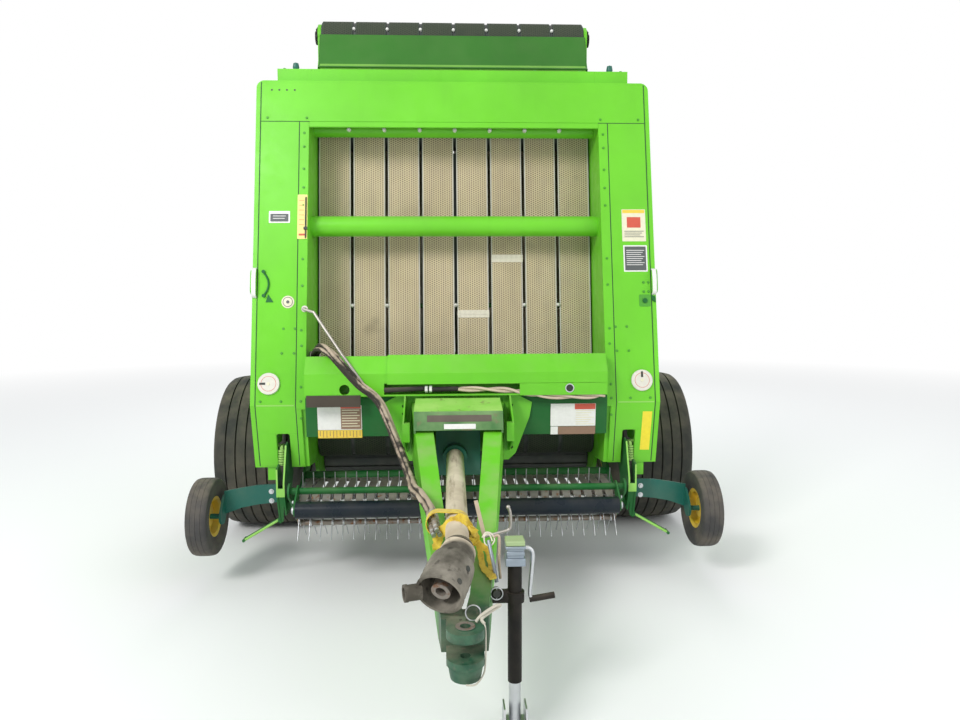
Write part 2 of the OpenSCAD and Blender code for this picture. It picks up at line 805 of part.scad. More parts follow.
hose_line = smooth_line(hose_route, hose_rings);
// Distance of each hose's middle from the middle of the bundle
bundle_r = (hose_d / 2 + slack) / sin(60);

// Three hoses that lie against each other
module hoses() {
    color("wheat") for (a = [0:120:240]) {
        line = [for (i = [0:len(hose_line) - 1]) ring(hose_line, i, bundle_r, 1, a)[0]];
        swept_tube(line, hose_d / 2, hose_sides);
    }
}

coupler_len = 62;

// Gland on the chamber wall that the hoses come out of, and the couplers on their other ends
module hose_fittings() {
    last = len(hose_line) - 1;
    run = line_dir(hose_line, last);
    start_run = line_dir(hose_line, 0);
    color("gray") {
        bar(hose_line[0] - start_run * slack, hose_line[0] - start_run * 12, 29);
        translate([-chamber_x + 2 * slack, hose_route[0][1] + 6, hose_route[0][2] - 25]) cube([20, 10, 50]);
        for (a = [0:120:240]) {
            start = ring(hose_line, last, bundle_r, 1, a)[0] + run * slack;
            bar(start, start + run * coupler_len, hose_d / 2 - 0.5);
            bar(start + run * (coupler_len - 1), start + run * (coupler_len + 16), hose_d / 2 - 3);
        }
    }
}

strap_at = [-2235, -2192];
strap_t = 3;

// Webbing strap that ties the couplers to the guard tube
module hose_strap() {
    r = guard_tube_d / 2 + 1.5;
    mid = [[-88, 661], [-19.3, 657.1]];
    color("gold") front_cut(strap_at[0], strap_at[1] - strap_at[0]) difference() {
        round_loop(mid, r + strap_t);
        round_loop(mid, r);
    }
}

// Side section of the gate's round rear outline
function gate_arc(ry, rz) = [for (a = [-90:7.5:90]) [gate_mid[0] + ry * cos(a), gate_mid[1] + rz * sin(a)]];

module gate_outline(i) {
    polygon(concat(
        [[split_y + 10 + i, gate_mid[1] - gate_rz + i]],
        gate_arc(gate_ry - i, gate_rz - i),
        [[split_y + 10 + i, gate_mid[1] + gate_rz - i]]
    ));
}

module gate_holes() {
    for (p = gate_rolls) translate(p) circle(r = roll_shaft_r + slack);
    for (p = gate_tubes) translate(p) circle(r = gate_tube_r + slack);
}

// Tubes across the back of the gate, as [y, z]
gate_tubes = [[900, 2560], [1318, 1690], [1060, 1010]];
gate_tube_r = 40;

module gate_wall(s) {
    color("limegreen") on_side(s) {
        side_plate(gate_in_x, gate_wall_t) difference() {
            union() {
                gate_outline(0);
                link_shape([gate_hinge_y, gate_hinge_z], [gate_hinge_y + 260, gate_hinge_z - 90], 55);
            }
            gate_holes();
            translate([gate_hinge_y, gate_hinge_z]) circle(r = gate_pin_r + pin_slack);
        }
        side_plate(gate_out_x, 34) difference() {
            gate_outline(0);
            gate_outline(gate_rim);
        }
        // Lug that the gate cylinder pushes on
        lug_root = cyl_top + [110, -20];
        for (x = [cyl_x - eye_half - lug_t - pin_slack, cyl_x + eye_half + pin_slack])
            side_plate(x, lug_t) link_shape(cyl_top, lug_root, 42);
        side_plate(gate_out_x, cyl_x + eye_half + lug_t - gate_out_x) translate(lug_root) circle(r = 40);
    }
}

module gate_frame() {
    color("limegreen")
        for (p = gate_tubes) bar_x(p, gate_tube_r, 2 * gate_out_x);
}

module belts_rear() {
    color("dimgray") belts(gate_rolls);
}

module belt_rolls_rear() {
    color("darkgray") for (p = gate_rolls) {
        bar_x(p, belt_roll_r, 2 * gate_in_x - 8);
        bar_x(p, roll_shaft_r, 2 * gate_out_x);
    }
}

// A gate cylinder is drawn with its lower pin at the origin and its length along +Z
module cylinder_place(s) {
    on_side(s) translate([cyl_x, cyl_low[0], cyl_low[1]]) rotate([cyl_angle - 90, 0, 0]) children();
}

module barrel(s) {
    color("black") {
        cylinder_place(s) difference() {
            union() {
                translate([0, 0, 60]) cylinder(d = barrel_d, h = barrel_len - 60);
                rotate([0, 90, 0]) cylinder(r = cyl_eye_r, h = 2 * eye_half, center = true);
                translate([-22, -22, 0]) cube([44, 44, 70]);
            }
            rotate([0, 90, 0]) cylinder(r = cyl_pin_r + pin_slack, h = 80, center = true);
            translate([0, 0, 90]) cylinder(r = rod_d / 2 + 1, h = barrel_len);
        }
    }
}

module rod(s) {
    color("silver") cylinder_place(s) {
        difference() {
            union() {
                translate([0, 0, cyl_len - 780]) cylinder(d = rod_d, h = 750);
                translate([0, 0, cyl_len]) rotate([0, 90, 0])
                    cylinder(r = cyl_eye_r, h = 2 * eye_half, center = true);
            }
            translate([0, 0, cyl_len]) rotate([0, 90, 0]) cylinder(r = cyl_pin_r, h = 80, center = true);
        }
    }
}

// Side door, hinged at its rear edge
module door(s) {
    y0 = flange_depth + 2 + door_gap;
    color("limegreen") on_side(s) {
        side_plate(body_x - panel_t, panel_t) polygon([
            [face_y(door_low_z) + y0, door_low_z], [face_y(door_top_z) + y0, door_top_z],
            [door_rear_y, door_top_z], [door_rear_y, door_low_z]
        ]);
        // Knuckles round the hinge pin
        for (z = [door_low_z + 60, (door_low_z + door_top_z) / 2, door_top_z - 160])
            difference() {
                translate([door_hinge_x, door_hinge_y, z]) cylinder(r = door_pin_r + 5, h = 100);
                translate([door_hinge_x, door_hinge_y, z - 1]) cylinder(r = door_pin_r + pin_slack, h = 102);
            }
        // Handle strap at the front edge
        side_plate(body_x + 3, 14) difference() {
            link_shape([face_y(1540) + 40, 1540], [face_y(1620) + 40, 1620], 24);
            link_shape([face_y(1550) + 40, 1550], [face_y(1610) + 40, 1610], 12);
        }
        translate([body_x, face_y(1580) + y0 - 20, 1560]) cube([4, 50, 50]);
    }
}

// Tyre of outer diameter d, width w, on a rim of diameter rim, about the X axis
module tyre_solid(d, w, rim) {
    r = d / 2;
    b = rim / 2;
    rotate([0, 90, 0]) rotate_extrude($fn = 96) polygon([
        [b, -w * 0.36], [b + (r - b) * 0.25, -w * 0.44], [b + (r - b) * 0.55, -w / 2],
        [r - (r - b) * 0.16, -w * 0.475], [r - (r - b) * 0.04, -w * 0.4], [r, -w * 0.2],
        [r, w * 0.2], [r - (r - b) * 0.04, w * 0.4], [r - (r - b) * 0.16, w * 0.475],
        [b + (r - b) * 0.55, w / 2], [b + (r - b) * 0.25, w * 0.44], [b, w * 0.36]
    ]);
}

// Rim with its dished disc and hub, its outside towards +X
module rim_solid(rim, w, bore) {
    b = rim / 2 - slack;
    rotate([0, 90, 0]) rotate_extrude($fn = 96) polygon([
        [b, -w * 0.36], [b, w * 0.36], [b - 8, w * 0.36], [b - 14, w * 0.3], [b - 20, w * 0.05],
        [b * 0.62, w * 0.02], [b * 0.55, w * 0.12], [bore + 28, w * 0.12], [bore + 28, w * 0.28],
        [bore, w * 0.28], [bore, -w * 0.12], [bore + 34, -w * 0.12], [bore + 34, w * 0.02],
        [b * 0.5, w * 0.02], [b * 0.6, -w * 0.04], [b - 28, -w * 0.02], [b - 22, -w * 0.3], [b - 8, -w * 0.36]
    ]);
}

module wheel_place(s) {
    on_side(s) translate([track_w / 2, 0, axle_z]) children();
}

module tyre(s) {
    color("black") wheel_place(s) tyre_solid(tyre_d, tyre_w, rim_d);
}

module rim(s) {
    color("gold") wheel_place(s) rim_solid(rim_d, tyre_w, 33);
}

module gauge_place(s) {
    on_side(s) translate([gauge_track / 2, gauge_at[0], gauge_at[1]]) children();
}

module gauge_tyre(s) {
    color("black") gauge_place(s) tyre_solid(gauge_d, gauge_w, gauge_d * 0.55);
}

module gauge_rim(s) {
    color("gold") gauge_place(s) rim_solid(gauge_d * 0.55, gauge_w, 14);
}

// Side plates, roller arms, lift horns and cross tubes of the pickup
module pickup_frame() {
    color("forestgreen") {
        both_sides() {
            side_plate(pickup_plate_x, pickup_plate_t) difference() {
                union() {
                    translate(reel_at) circle(r = 62);
                    link_shape(pickup_pivot, reel_at, 48);
                    link_shape(reel_at, guard_tube_at, 40);
                }
                translate(pickup_pivot) circle(r = pickup_pin_r + pin_slack);
                translate(reel_at) circle(r = reel_shaft_r + pin_slack);
            }
            side_plate(guard_arm_x, guard_arm_t) difference() {
                link_shape(guard_tube_at, guard_roller_at, 30);
                translate(guard_roller_at) circle(r = roller_shaft_r + pin_slack);
            }
            // Lift bracket: two plates that reach through the slot, their front plate and a tapered nose
            side_plate(bracket_x, bracket_t) polygon([
                [-1200, 482], [-1200, 560], [-1130, 740], [-1090, 750], [-960, 690], [-940, 620],
                [-1000, 540], [-1060, 380], [-1166, 380]
            ]);
            side_plate(bracket_out_x, bracket_t) polygon([
                [-1200, 482], [-1200, 630], [-1150, 645], [-1060, 550], [-1000, 440],
                [-1080, 340], [-1150, 333]
            ]);
            translate([bracket_x + 1, -1199, 484]) cube([bracket_out_x + bracket_t - bracket_x - 2, 8, 46]);
            intersection() {
                side_plate(bracket_x, bracket_out_x + bracket_t - bracket_x)
                    polygon([[-1198, 488], [-1190, 488], [-1140, 338], [-1148, 338]]);
                front_cut(-1210, 100) polygon([
                    [bracket_x + 1, 500], [bracket_out_x - 12, 345], [bracket_out_x + 4, 330],
                    [bracket_out_x + bracket_t - 1, 330], [bracket_out_x + bracket_t - 1, 500]
                ]);
            }
            bar([bracket_x + 1, -1080, 500], [bracket_out_x + 1, -1080, 500], 12);
            // Arm from the pickup's plate to the bracket
            side_plate(pickup_plate_x + pickup_plate_t - 1, bracket_x - pickup_plate_x - pickup_plate_t + 2)
                translate([-1140, 400]) square([60, 40]);
            // Guide rods below the bracket, on a cross bar in the outer plate and with one at their ends
            for (back = [0, 32])
                bar([bracket_out_x + 12, -1142 + back, 350], [bracket_out_x + 190, -1160 + back, 250], 6);
            bar([bracket_out_x + 190, -1170, 250], [bracket_out_x + 190, -1118, 250], 8);
            translate([bracket_out_x + bracket_t - 1, -1152, 340]) cube([10, 56, 20]);
        }
        bar_x(guard_tube_at, 17, 2 * pickup_plate_x + 2);
        bar_x(pickup_tube_at, pickup_tube_r, 2 * pickup_plate_x + 2);
    }
}

pickup_tube_r = 30;
tine_count = floor(2 * (pickup_plate_x - 16) / tine_pitch) + 1;
band_count = tine_count - 1;
band_t = 3;
// Drop of the bands' front ends below the reel's axle
band_end = 18;
// Cross strip that joins the bands' rear ends, on the pickup's tube
strip_w = 20;
strip_back = pickup_tube_at[0] - pickup_tube_r - slack - reel_at[0];

// Curved bands between the rows of tines, open to the rear and below, on one cross strip
module stripper_bands() {
    color("silver") {
        for (i = [0:band_count - 1])
            side_plate((i - (band_count - 1) / 2) * tine_pitch - band_w / 2, band_w)
                translate(reel_at) {
                    difference() {
                        circle(r = band_r);
                        circle(r = band_r - band_t);
                        translate([0, -band_r - 1]) square(2 * band_r + 2);
                        translate([-band_r - 1, -band_r - 1]) square([band_r + 2, band_r + 1 - band_end]);
                    }
                    translate([-0.5, band_r - band_t]) square([strip_back + 0.5, band_t]);
                }
        side_plate(-pickup_plate_x + slack, 2 * (pickup_plate_x - slack)) translate(reel_at)
            translate([strip_back - strip_w, band_r - band_t - 14]) square([strip_w, 14.5]);
    }
}

// Arms that carry the gauge wheels: a curved plate seen from ahead, and the wheel's own plate
module gauge_arms() {
    plate_x = body_x + gauge_gap - 25;
    root_x = bracket_out_x + bracket_t + slack;
    color("seagreen") both_sides() {
        translate([0, -1054, 0]) rotate([90, 0, 0]) linear_extrude(12) polygon([
            [root_x, 425], [1060, 411], [1140, 396], [plate_x + 6, 363], [plate_x + 6, 485],
            [1150, 500], [1060, 514], [root_x, 520]
        ]);
        side_plate(plate_x, 12) link_shape([-1060, 424], gauge_at, 42);
        bar([plate_x, gauge_at[0], gauge_at[1]],
            [gauge_track / 2 + gauge_w * 0.3, gauge_at[0], gauge_at[1]], 13.5);
    }
}

reel_half = pickup_plate_x - 6;
end_disc_t = 8;

// Reel with rows of trailing spring tines on its bars
module tine_reel() {
    color("gray") translate([0, reel_at[0], reel_at[1]]) {
        bar_x([0, 0], reel_shaft_r, 2 * pickup_plate_x + 14);
        for (x = [-reel_half + end_disc_t / 2, 0, reel_half - end_disc_t / 2])
            bar_x([0, 0], tine_bar_r + 16, end_disc_t, x);
        for (k = [0:tine_bars - 1])
            rotate([k * 360 / tine_bars, 0, 0]) translate([0, -tine_bar_r, 0]) {
                rotate([0, 90, 0]) cylinder(r = 14, h = 2 * reel_half, center = true);
                for (i = [0:tine_count - 1])
                    translate([(i - (tine_count - 1) / 2) * tine_pitch, 0, 0])
                        rotate([90 + tine_rake, 0, 0]) cylinder(d = tine_d, h = tine_len, $fn = 16);
            }
    }
}

module windguard_roller() {
    color("black") {
        bar_x(guard_roller_at, guard_roller_d / 2, 2 * guard_arm_x - 4);
        bar_x(guard_roller_at, roller_shaft_r, 2 * (guard_arm_x + guard_arm_t) + 34);
    }
}

spring_y = -1082;
spring_turns = 6;
spring_wire_r = 5;
spring_r = 20;
spring_low_z = 636;
spring_x = bracket_x + bracket_t + 6 + spring_r;

// Float springs in the slots of the face: a coil on a rod, its hook below and its pin behind the face
module float_springs() {
    pitch = 2 * spring_wire_r + 3;
    top_z = spring_low_z + spring_turns * pitch;
    pin_y = spring_y + 46;
    color("yellowgreen") both_sides() {
        for (k = [0:spring_turns - 1])
            translate([spring_x, spring_y, spring_low_z + k * pitch]) rotate_extrude($fn = 48)
                translate([spring_r - spring_wire_r, 0]) circle(r = spring_wire_r, $fn = 16);
        translate([spring_x, spring_y, spring_low_z - 12])
            cylinder(r = spring_r - 2 * spring_wire_r + 1, h = top_z - spring_low_z + 20);
        translate([slot_x - 6, spring_y - 12, spring_low_z - 70]) cube([12, 24, 62]);
        translate([spring_x - 6, spring_y - 6, top_z]) cube([12, 52, 14]);
        bar([spring_x - 6, pin_y, top_z + 7], [foot_x - slack, pin_y, top_z + 7], 8);
    }
}

module starter_roll() {
    color("dimgray") {
        bar_x(starter_at, starter_d / 2 - 8, chamber_w - 16);
        for (a = [0:30:330])
            translate([-chamber_x + 8, starter_at[0], starter_at[1]]) rotate([a, 0, 0])
                translate([0, -5, starter_d / 2 - 12]) cube([chamber_w - 16, 10, 12]);
        bar_x(starter_at, starter_shaft_r, chamber_w + 2 * wall_t);
    }
}

place() side_wall(-1);  // side_wall_l
place() side_wall(1);  // side_wall_r
place() front_face();
place() cross_tube();
place() lower_beam();
place() lower_panel();
place() side_frame(-1);  // side_frame_l
place() side_frame(1);  // side_frame_r
place() top_frame();
place() upper_shield();
place() belts_front();
place() belt_rolls_front();
place() floor_pan();
place() axle();
place() tongue();
place() tongue_hood();
place() gearbox();
place() drive_guard();
place() jack_tube();
place() face_fittings();
place() gate_wall(-1);  // gate_wall_l
place() gate_wall(1);  // gate_wall_r
place() gate_frame();
place() belts_rear();
place() belt_rolls_rear();
place() barrel(-1);  // barrel_l
place() barrel(1);  // barrel_r
place() rod(-1);  // rod_l
place() rod(1);  // rod_r
place() door(-1);  // door_l
place() door(1);  // door_r
place() tyre(-1);  // tyre_l
place() tyre(1);  // tyre_r
place() rim(-1);  // rim_l
place() rim(1);  // rim_r
place() gauge_tyre(-1);  // gauge_tyre_l
place() gauge_tyre(1);  // gauge_tyre_r
place() gauge_rim(-1);  // gauge_rim_l
place() gauge_rim(1);  // gauge_rim_r
place() pickup_frame();
place() stripper_bands();
place() gauge_arms();
place() tine_reel();
place() windguard_roller();
place() jack_leg();
place() drive_shaft();
place() drive_yoke();
place() starter_roll();
place() float_springs();
place() hoses();
place() hose_fittings();
place() hose_strap();
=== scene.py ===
"""Looks of the round baler: finishes, detail meshes, floor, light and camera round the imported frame."""

import json
import math

import bmesh
import bpy
from mathutils import Matrix, Vector


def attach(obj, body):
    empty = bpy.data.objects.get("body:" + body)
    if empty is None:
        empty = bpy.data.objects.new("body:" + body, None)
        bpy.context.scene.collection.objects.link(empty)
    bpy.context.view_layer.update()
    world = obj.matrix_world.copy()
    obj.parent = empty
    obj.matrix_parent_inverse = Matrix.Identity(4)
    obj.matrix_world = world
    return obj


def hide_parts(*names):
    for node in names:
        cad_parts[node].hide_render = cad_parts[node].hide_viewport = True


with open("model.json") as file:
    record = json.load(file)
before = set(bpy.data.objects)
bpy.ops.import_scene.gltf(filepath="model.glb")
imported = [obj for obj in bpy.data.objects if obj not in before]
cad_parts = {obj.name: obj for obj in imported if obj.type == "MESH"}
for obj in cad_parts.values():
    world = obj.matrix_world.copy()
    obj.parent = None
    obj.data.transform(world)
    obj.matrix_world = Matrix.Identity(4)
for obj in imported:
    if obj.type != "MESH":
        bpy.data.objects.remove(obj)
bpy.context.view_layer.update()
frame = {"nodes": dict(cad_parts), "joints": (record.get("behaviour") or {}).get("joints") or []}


def joint_place(name):
    """Place of a joint's axis, in metres."""
    return Vector(next(j["pos_m"] for j in frame["joints"] if j["name"] == name))


# The machine's sections are drawn in millimetres, with the axle at Y = 0 and the ground at Z = 0
AXLE_Y = joint_place("wheel_l_spin").y
TO_ROW = Matrix.Translation((0, AXLE_Y, 0)) @ Matrix.Scale(0.001, 4)
SIDES = (-1, 1)
RIGHT = Vector((1, 0, 0))


def section_place(name):
    """Place of a joint's axis in the frame of the sections."""
    return (joint_place(name) - Vector((0, AXLE_Y, 0))) * 1000


# Front face: a fold at the height of the cross member, and a lean away from it above and below
FOLD_Y, FOLD_Z = -1141, 948
FACE_LEAN, LOW_LEAN = math.radians(11.13), math.radians(11.5)
FACE_TOP_Z, FACE_LOW_Z = 2664, 612
WINDOW_X, WINDOW_TOP_Z = 779, 2408
WALL_X = 801
SEAM_X = 1034
JAMB_SEAM_X = 829
SLOT_X, SLOT_W, SLOT_TOP_Z = 906, 68, 795
RAIL_Y, RAIL_TOP_Z = -718, 2745
SHEET_T = 2.5

# Belts
BELT_PITCH, BELT_W = 195, 178
BELT_COUNT = 8
TOP_ROLL, GUIDE_ROLL, FRONT_ROLL = (-324, 3050), (-505, 2440), (-741, 690)
FRONT_ROLLS = (TOP_ROLL, GUIDE_ROLL, FRONT_ROLL, (-110, 2690))
GATE_ROLLS = ((262, 650), (1130, 1330), (1080, 2300), (330, 2620))
ROLL_R, BELT_T = 85.3, 6

# Wheels
TYRE_R, TYRE_W, RIM_R = 492.5, 546, 204.5
WHEEL_X = section_place("wheel_r_spin").x
GAUGE_R, GAUGE_W = 200, 110
GAUGE_AT = section_place("gauge_wheel_r_spin")

# Pickup
REEL_AT = section_place("pickup_reel_spin").yz
BAR_R, BAR_COUNT, TINE_LEN, TINE_PITCH, TINE_COUNT = 75, 5, 145, 57, 30
TINE_RAKE = math.radians(65)
ROLLER_AT, ROLLER_R = section_place("windguard_spin").yz, 42
PICKUP_X = 845
GUARD_ARM_X = 804

# Tongue, drive shaft and jack
GUARD_START, GUARD_END, BELL_END = (-17, -1340, 711), (-20, -2490, 640), (-80, -2645, 566)
GUARD_R, BELL_THROAT_R, BELL_R = 42.5, 58, 78
JACK_AT = (177, -2440)
HITCH_Y, CLEVIS_TOP_Z = -2690, 480


def axes(at, x, y, z):
    """Frame at a place, with its three directions."""
    return Matrix.Translation(at) @ Matrix((x, y, z)).transposed().to_4x4()


def sheet_frame(at, lean, out):
    """Frame on a sheet that leans back by an angle: X to the right, Y up along it and Z out of it."""
    up = Vector((0, math.sin(lean), math.cos(lean)))
    normal = Vector((0, -math.cos(lean), math.sin(lean)))
    return axes(Vector(at) + normal * out, RIGHT, up, normal)


def face_y(z):
    """Place of the front face's outer side at a height."""
    lean = FACE_LEAN if z >= FOLD_Z else -LOW_LEAN
    return FOLD_Y + (z - FOLD_Z) * math.tan(lean)


def on_face(x, z, out=SHEET_T):
    """Frame on the thin sheet of the front face, or at another height above the face."""
    return sheet_frame((x, face_y(z), z), FACE_LEAN if z >= FOLD_Z else -LOW_LEAN, out)


# Materials


class Nodes:
    """A node tree, with short calls for the nodes that a finish is made of."""

    def __init__(self, tree):
        self.tree = tree

    def put(self, socket, value):
        """Links a socket or sets its value."""
        if isinstance(value, bpy.types.NodeSocket):
            self.tree.links.new(value, socket)
        elif hasattr(value, "__len__") and len(value) == 3 and socket.type == "RGBA":
            socket.default_value = (*value, 1)
        else:
            socket.default_value = value

    def node(self, kind, inputs=None, **settings):
        node = self.tree.nodes.new("ShaderNode" + kind)
        for key, value in settings.items():
            setattr(node, key, value)
        for key, value in (inputs or {}).items():
            self.put(node.inputs[key], value)
        return node

    def maths(self, operation, a, b=0.0):
        return self.node("Math", {0: a, 1: b}, operation=operation).outputs[0]

    def between(self, value, low, high, to_low=0.0, to_high=1.0):
        """Carries the range from low to high onto another one, and holds the rest at its ends."""
        values = {"Value": value, "From Min": low, "From Max": high, "To Min": to_low, "To Max": to_high}
        return self.node("MapRange", values).outputs["Result"]

    def show(self, output, factor, a, b):
        """Sends two shaders, mixed by a factor, to the tree's output."""
        mix = self.node("MixShader", {0: factor, 1: a.outputs[0], 2: b.outputs[0]})
        self.put(self.tree.nodes[output].inputs["Surface"], mix.outputs[0])


# Heights in metres between which the dust thins out, and the colours of dust and rust
DUST_LOW_Z, DUST_HIGH_Z = 0.25, 1.3
DUST, RUST = (0.46, 0.38, 0.27), (0.20, 0.085, 0.035)


class Shader(Nodes):
    """One material's node tree."""

    def __init__(self, name):
        self.material = bpy.data.materials.new(name)
        self.material.use_nodes = True
        super().__init__(self.material.node_tree)
        self.bsdf = self.tree.nodes["Principled BSDF"]
        self.place = self.node("TexCoord").outputs["Object"]

    def noise(self, scale, detail=3, roughness=0.55, stretch=(1, 1, 1)):
        mapped = self.node("Mapping", {"Vector": self.place, "Scale": stretch})
        values = {"Vector": mapped.outputs[0], "Scale": scale, "Detail": detail, "Roughness": roughness}
        return self.node("TexNoise", values).outputs["Fac"]

    def mix(self, factor, a, b):
        node = self.node("Mix", data_type="RGBA")
        for socket, value in ((node.inputs["Factor"], factor), (node.inputs[6], a), (node.inputs[7], b)):
            self.put(socket, value)
        return node.outputs[2]

    def spotted(self, colour, spots, scale, detail, low, high, strength=1.0, **noise):
        """Colour with soft spots of another, where the noise rises from low to high."""
        cover = self.between(self.noise(scale, detail, **noise), low, high, 0, strength)
        return self.mix(cover, colour, spots)

    def up(self):
        """How far the surface faces up, from -1 to 1."""
        normal = self.node("NewGeometry").outputs["Normal"]
        return self.node("SeparateXYZ", {0: normal}).outputs["Z"]

    def axis(self, letter):
        return self.node("SeparateXYZ", {0: self.place}).outputs[letter]

    def dusted(self, colour, amount):
        """Colour with dust where the surface faces up, and more of it near the ground; also its cover."""
        patches = self.between(self.noise(7, 5), 0.38, 0.72)
        upward = self.between(self.up(), 0.25, 0.95)
        near_ground = self.between(self.axis("Z"), DUST_LOW_Z, DUST_HIGH_Z, 0.65, 0.12)
        cover = self.maths("MULTIPLY", self.maths("ADD", upward, near_ground), patches)
        cover = self.maths("MULTIPLY", cover, amount)
        return self.mix(self.between(cover, 0, 1), colour, DUST), cover

    def bump(self, height, distance, strength):
        node = self.node("Bump", {"Height": height, "Distance": distance, "Strength": strength})
        self.put(self.bsdf.inputs["Normal"], node.outputs["Normal"])

    def grain(self, scale, detail, distance, strength):
        """Fine bumps all over; the distance is in metres."""
        self.bump(self.noise(scale, detail), distance, strength)

    def set(self, **values):
        """Sets inputs of the surface and gives the material back."""
        for key, value in values.items():
            self.put(self.bsdf.inputs[key.replace("_", " ")], value)
        return self.material


def scaled(colour, share):
    """A colour made darker or lighter."""
    return tuple(c * share for c in colour)


def painted(name, colour, dust, gloss=0.32, shine=0.35):
    """Sprayed paint on steel sheet: slow changes of shade, upright streaks, orange peel and dust."""
    shader = Shader(name)
    shade = shader.spotted(scaled(colour, 0.86), scaled(colour, 1.08), 1.6, 4, 0.3, 0.7)
    shade = shader.spotted(shade, scaled(colour, 0.6), 9, 3, 0.56, 0.78, 0.16, stretch=(1, 1, 0.08))
    shade, cover = shader.dusted(shade, dust)
    rough = shader.between(shader.maths("ADD", cover, shader.noise(14, 3)), 0.3, 1.3, gloss, 0.75)
    shader.grain(420, 2, 0.0004, 0.25)
    values = {"Base_Color": shade, "Roughness": rough, "Specular_IOR_Level": shine}
    return shader.set(**values, Coat_Weight=shine / 5, Coat_Roughness=0.15)


def bare_metal(name, colour, rough, metallic=1.0, dust=0.25, rust=0.0):
    """Bare or plated steel, with dust and, where it is asked for, spots of rust."""
    shader = Shader(name)
    shade = shader.mix(shader.noise(24, 4), scaled(colour, 0.75), colour)
    if rust:
        shade = shader.spotted(shade, RUST, 38, 6, 0.62 - rust, 0.74 - rust, roughness=0.65)
    shade, cover = shader.dusted(shade, dust)
    shader.grain(160, 4, 0.0006, 0.3)
    level = shader.between(cover, 0.1, 0.8, metallic, 0.1)
    rough = shader.between(shader.noise(30), 0.2, 0.8, rough, rough + 0.22)
    return shader.set(Base_Color=shade, Metallic=level, Roughness=rough)


def rubber(name, colour, dust):
    """Rubber of tyres and hoses, matt and duller where dust lies on it."""
    shader = Shader(name)
    shade = shader.mix(shader.noise(11, 5), scaled(colour, 0.7), scaled(colour, 1.25))
    shade, cover = shader.dusted(shade, dust)
    shader.grain(900, 3, 0.0007, 0.4)
    rough = shader.between(cover, 0, 0.6, 0.72, 0.95)
    return shader.set(Base_Color=shade, Roughness=rough, Specular_IOR_Level=0.35)


# Belts, in metres: pitch of the dimples across and along, and the heights where painted shade darkens the
# belts at the top roll and low near the front roll
DIMPLE_ACROSS, DIMPLE_ALONG = 0.0127, 0.0125
SHADED_TOP, SHADED_LOW = (2.52, 2.68), (1.02, 0.86)


def belt_rubber():
    """Woven belt: staggered dimples, pale edges of painted highlight, dust from the crop, and painted shade
    at both ends.
    """
    shader = Shader("belt_rubber")
    maths, between = shader.maths, shader.between

    def off_centre(value):
        return maths("SUBTRACT", maths("FRACT", value), 0.5)

    across = maths("DIVIDE", shader.axis("X"), DIMPLE_ACROSS)
    stagger = maths("MULTIPLY", maths("PINGPONG", maths("FLOOR", across), 1), 0.5)
    along = maths("ADD", maths("DIVIDE", shader.axis("Z"), DIMPLE_ALONG), stagger)
    u = maths("MULTIPLY", off_centre(across), 0.85)
    v = maths("MULTIPLY", off_centre(along), 1.15)
    reach = maths("SQRT", maths("ADD", maths("MULTIPLY", u, u), maths("MULTIPLY", v, v)))
    dimple = between(reach, 0.24, 0.36, 1, 0)
    lane = maths("DIVIDE", shader.axis("X"), BELT_PITCH / 1000)
    # painted highlight: pale lines along both edges of each belt
    edge = between(maths("ABSOLUTE", off_centre(lane)), 0.415, 0.435)
    shade = shader.spotted((0.50, 0.41, 0.26), (0.68, 0.57, 0.38), 2.2, 5, 0.3, 0.7)
    shade = shader.spotted(shade, (0.44, 0.36, 0.27), 26, 4, 0.42, 0.72, 0.4, stretch=(1, 1, 0.05))
    shade = shader.mix(maths("MULTIPLY", dimple, 0.86), shade, (0.115, 0.085, 0.045))
    shade = shader.mix(maths("MULTIPLY", edge, 0.8), shade, (0.56, 0.55, 0.50))
    shade = shader.spotted(shade, (0.12, 0.105, 0.07), 3.1, 3, 0.63, 0.74, 0.45)
    height = shader.axis("Z")
    # painted shade: dark rubber where the belts run over the top roll and low near the front roll
    shaded_ends = maths("MAXIMUM", between(height, *SHADED_TOP), between(height, *SHADED_LOW))
    shade = shader.mix(maths("MULTIPLY", shaded_ends, 0.93), shade, (0.022, 0.040, 0.028))
    shader.bump(maths("MULTIPLY", dimple, -1), 0.0018, 0.6)
    return shader.set(Base_Color=shade, Roughness=0.85, Specular_IOR_Level=0.2)


def guard_plastic():
    """Shaft guard: a tube that dust has turned beige, and a brown-grey bell with stains."""
    shader = Shader("guard_plastic")
    tube = shader.spotted((0.48, 0.39, 0.28), (0.70, 0.61, 0.46), 6, 6, 0.35, 0.65)
    tube = shader.spotted(tube, (0.20, 0.145, 0.095), 30, 5, 0.55, 0.72, 0.7, stretch=(1, 0.15, 1))
    cone = shader.spotted((0.085, 0.076, 0.058), (0.26, 0.235, 0.19), 11, 6, 0.36, 0.64)
    cone = shader.spotted(cone, (0.045, 0.038, 0.03), 34, 5, 0.58, 0.70, 0.8)
    bell_start = AXLE_Y + GUARD_END[1] / 1000
    shade = shader.mix(shader.between(shader.axis("Y"), bell_start - 0.01, bell_start - 0.03), tube, cone)
    shader.grain(220, 4, 0.0008, 0.4)
    return shader.set(Base_Color=shade, Roughness=0.8, Specular_IOR_Level=0.3)


# Reach forward of the axle, in metres, over which painted shade darkens the tongue, and where its casting
# begins
TONGUE_SHADE_REACH, CAST_BEGINS = (2.20, 2.52), (2.53, 2.57)


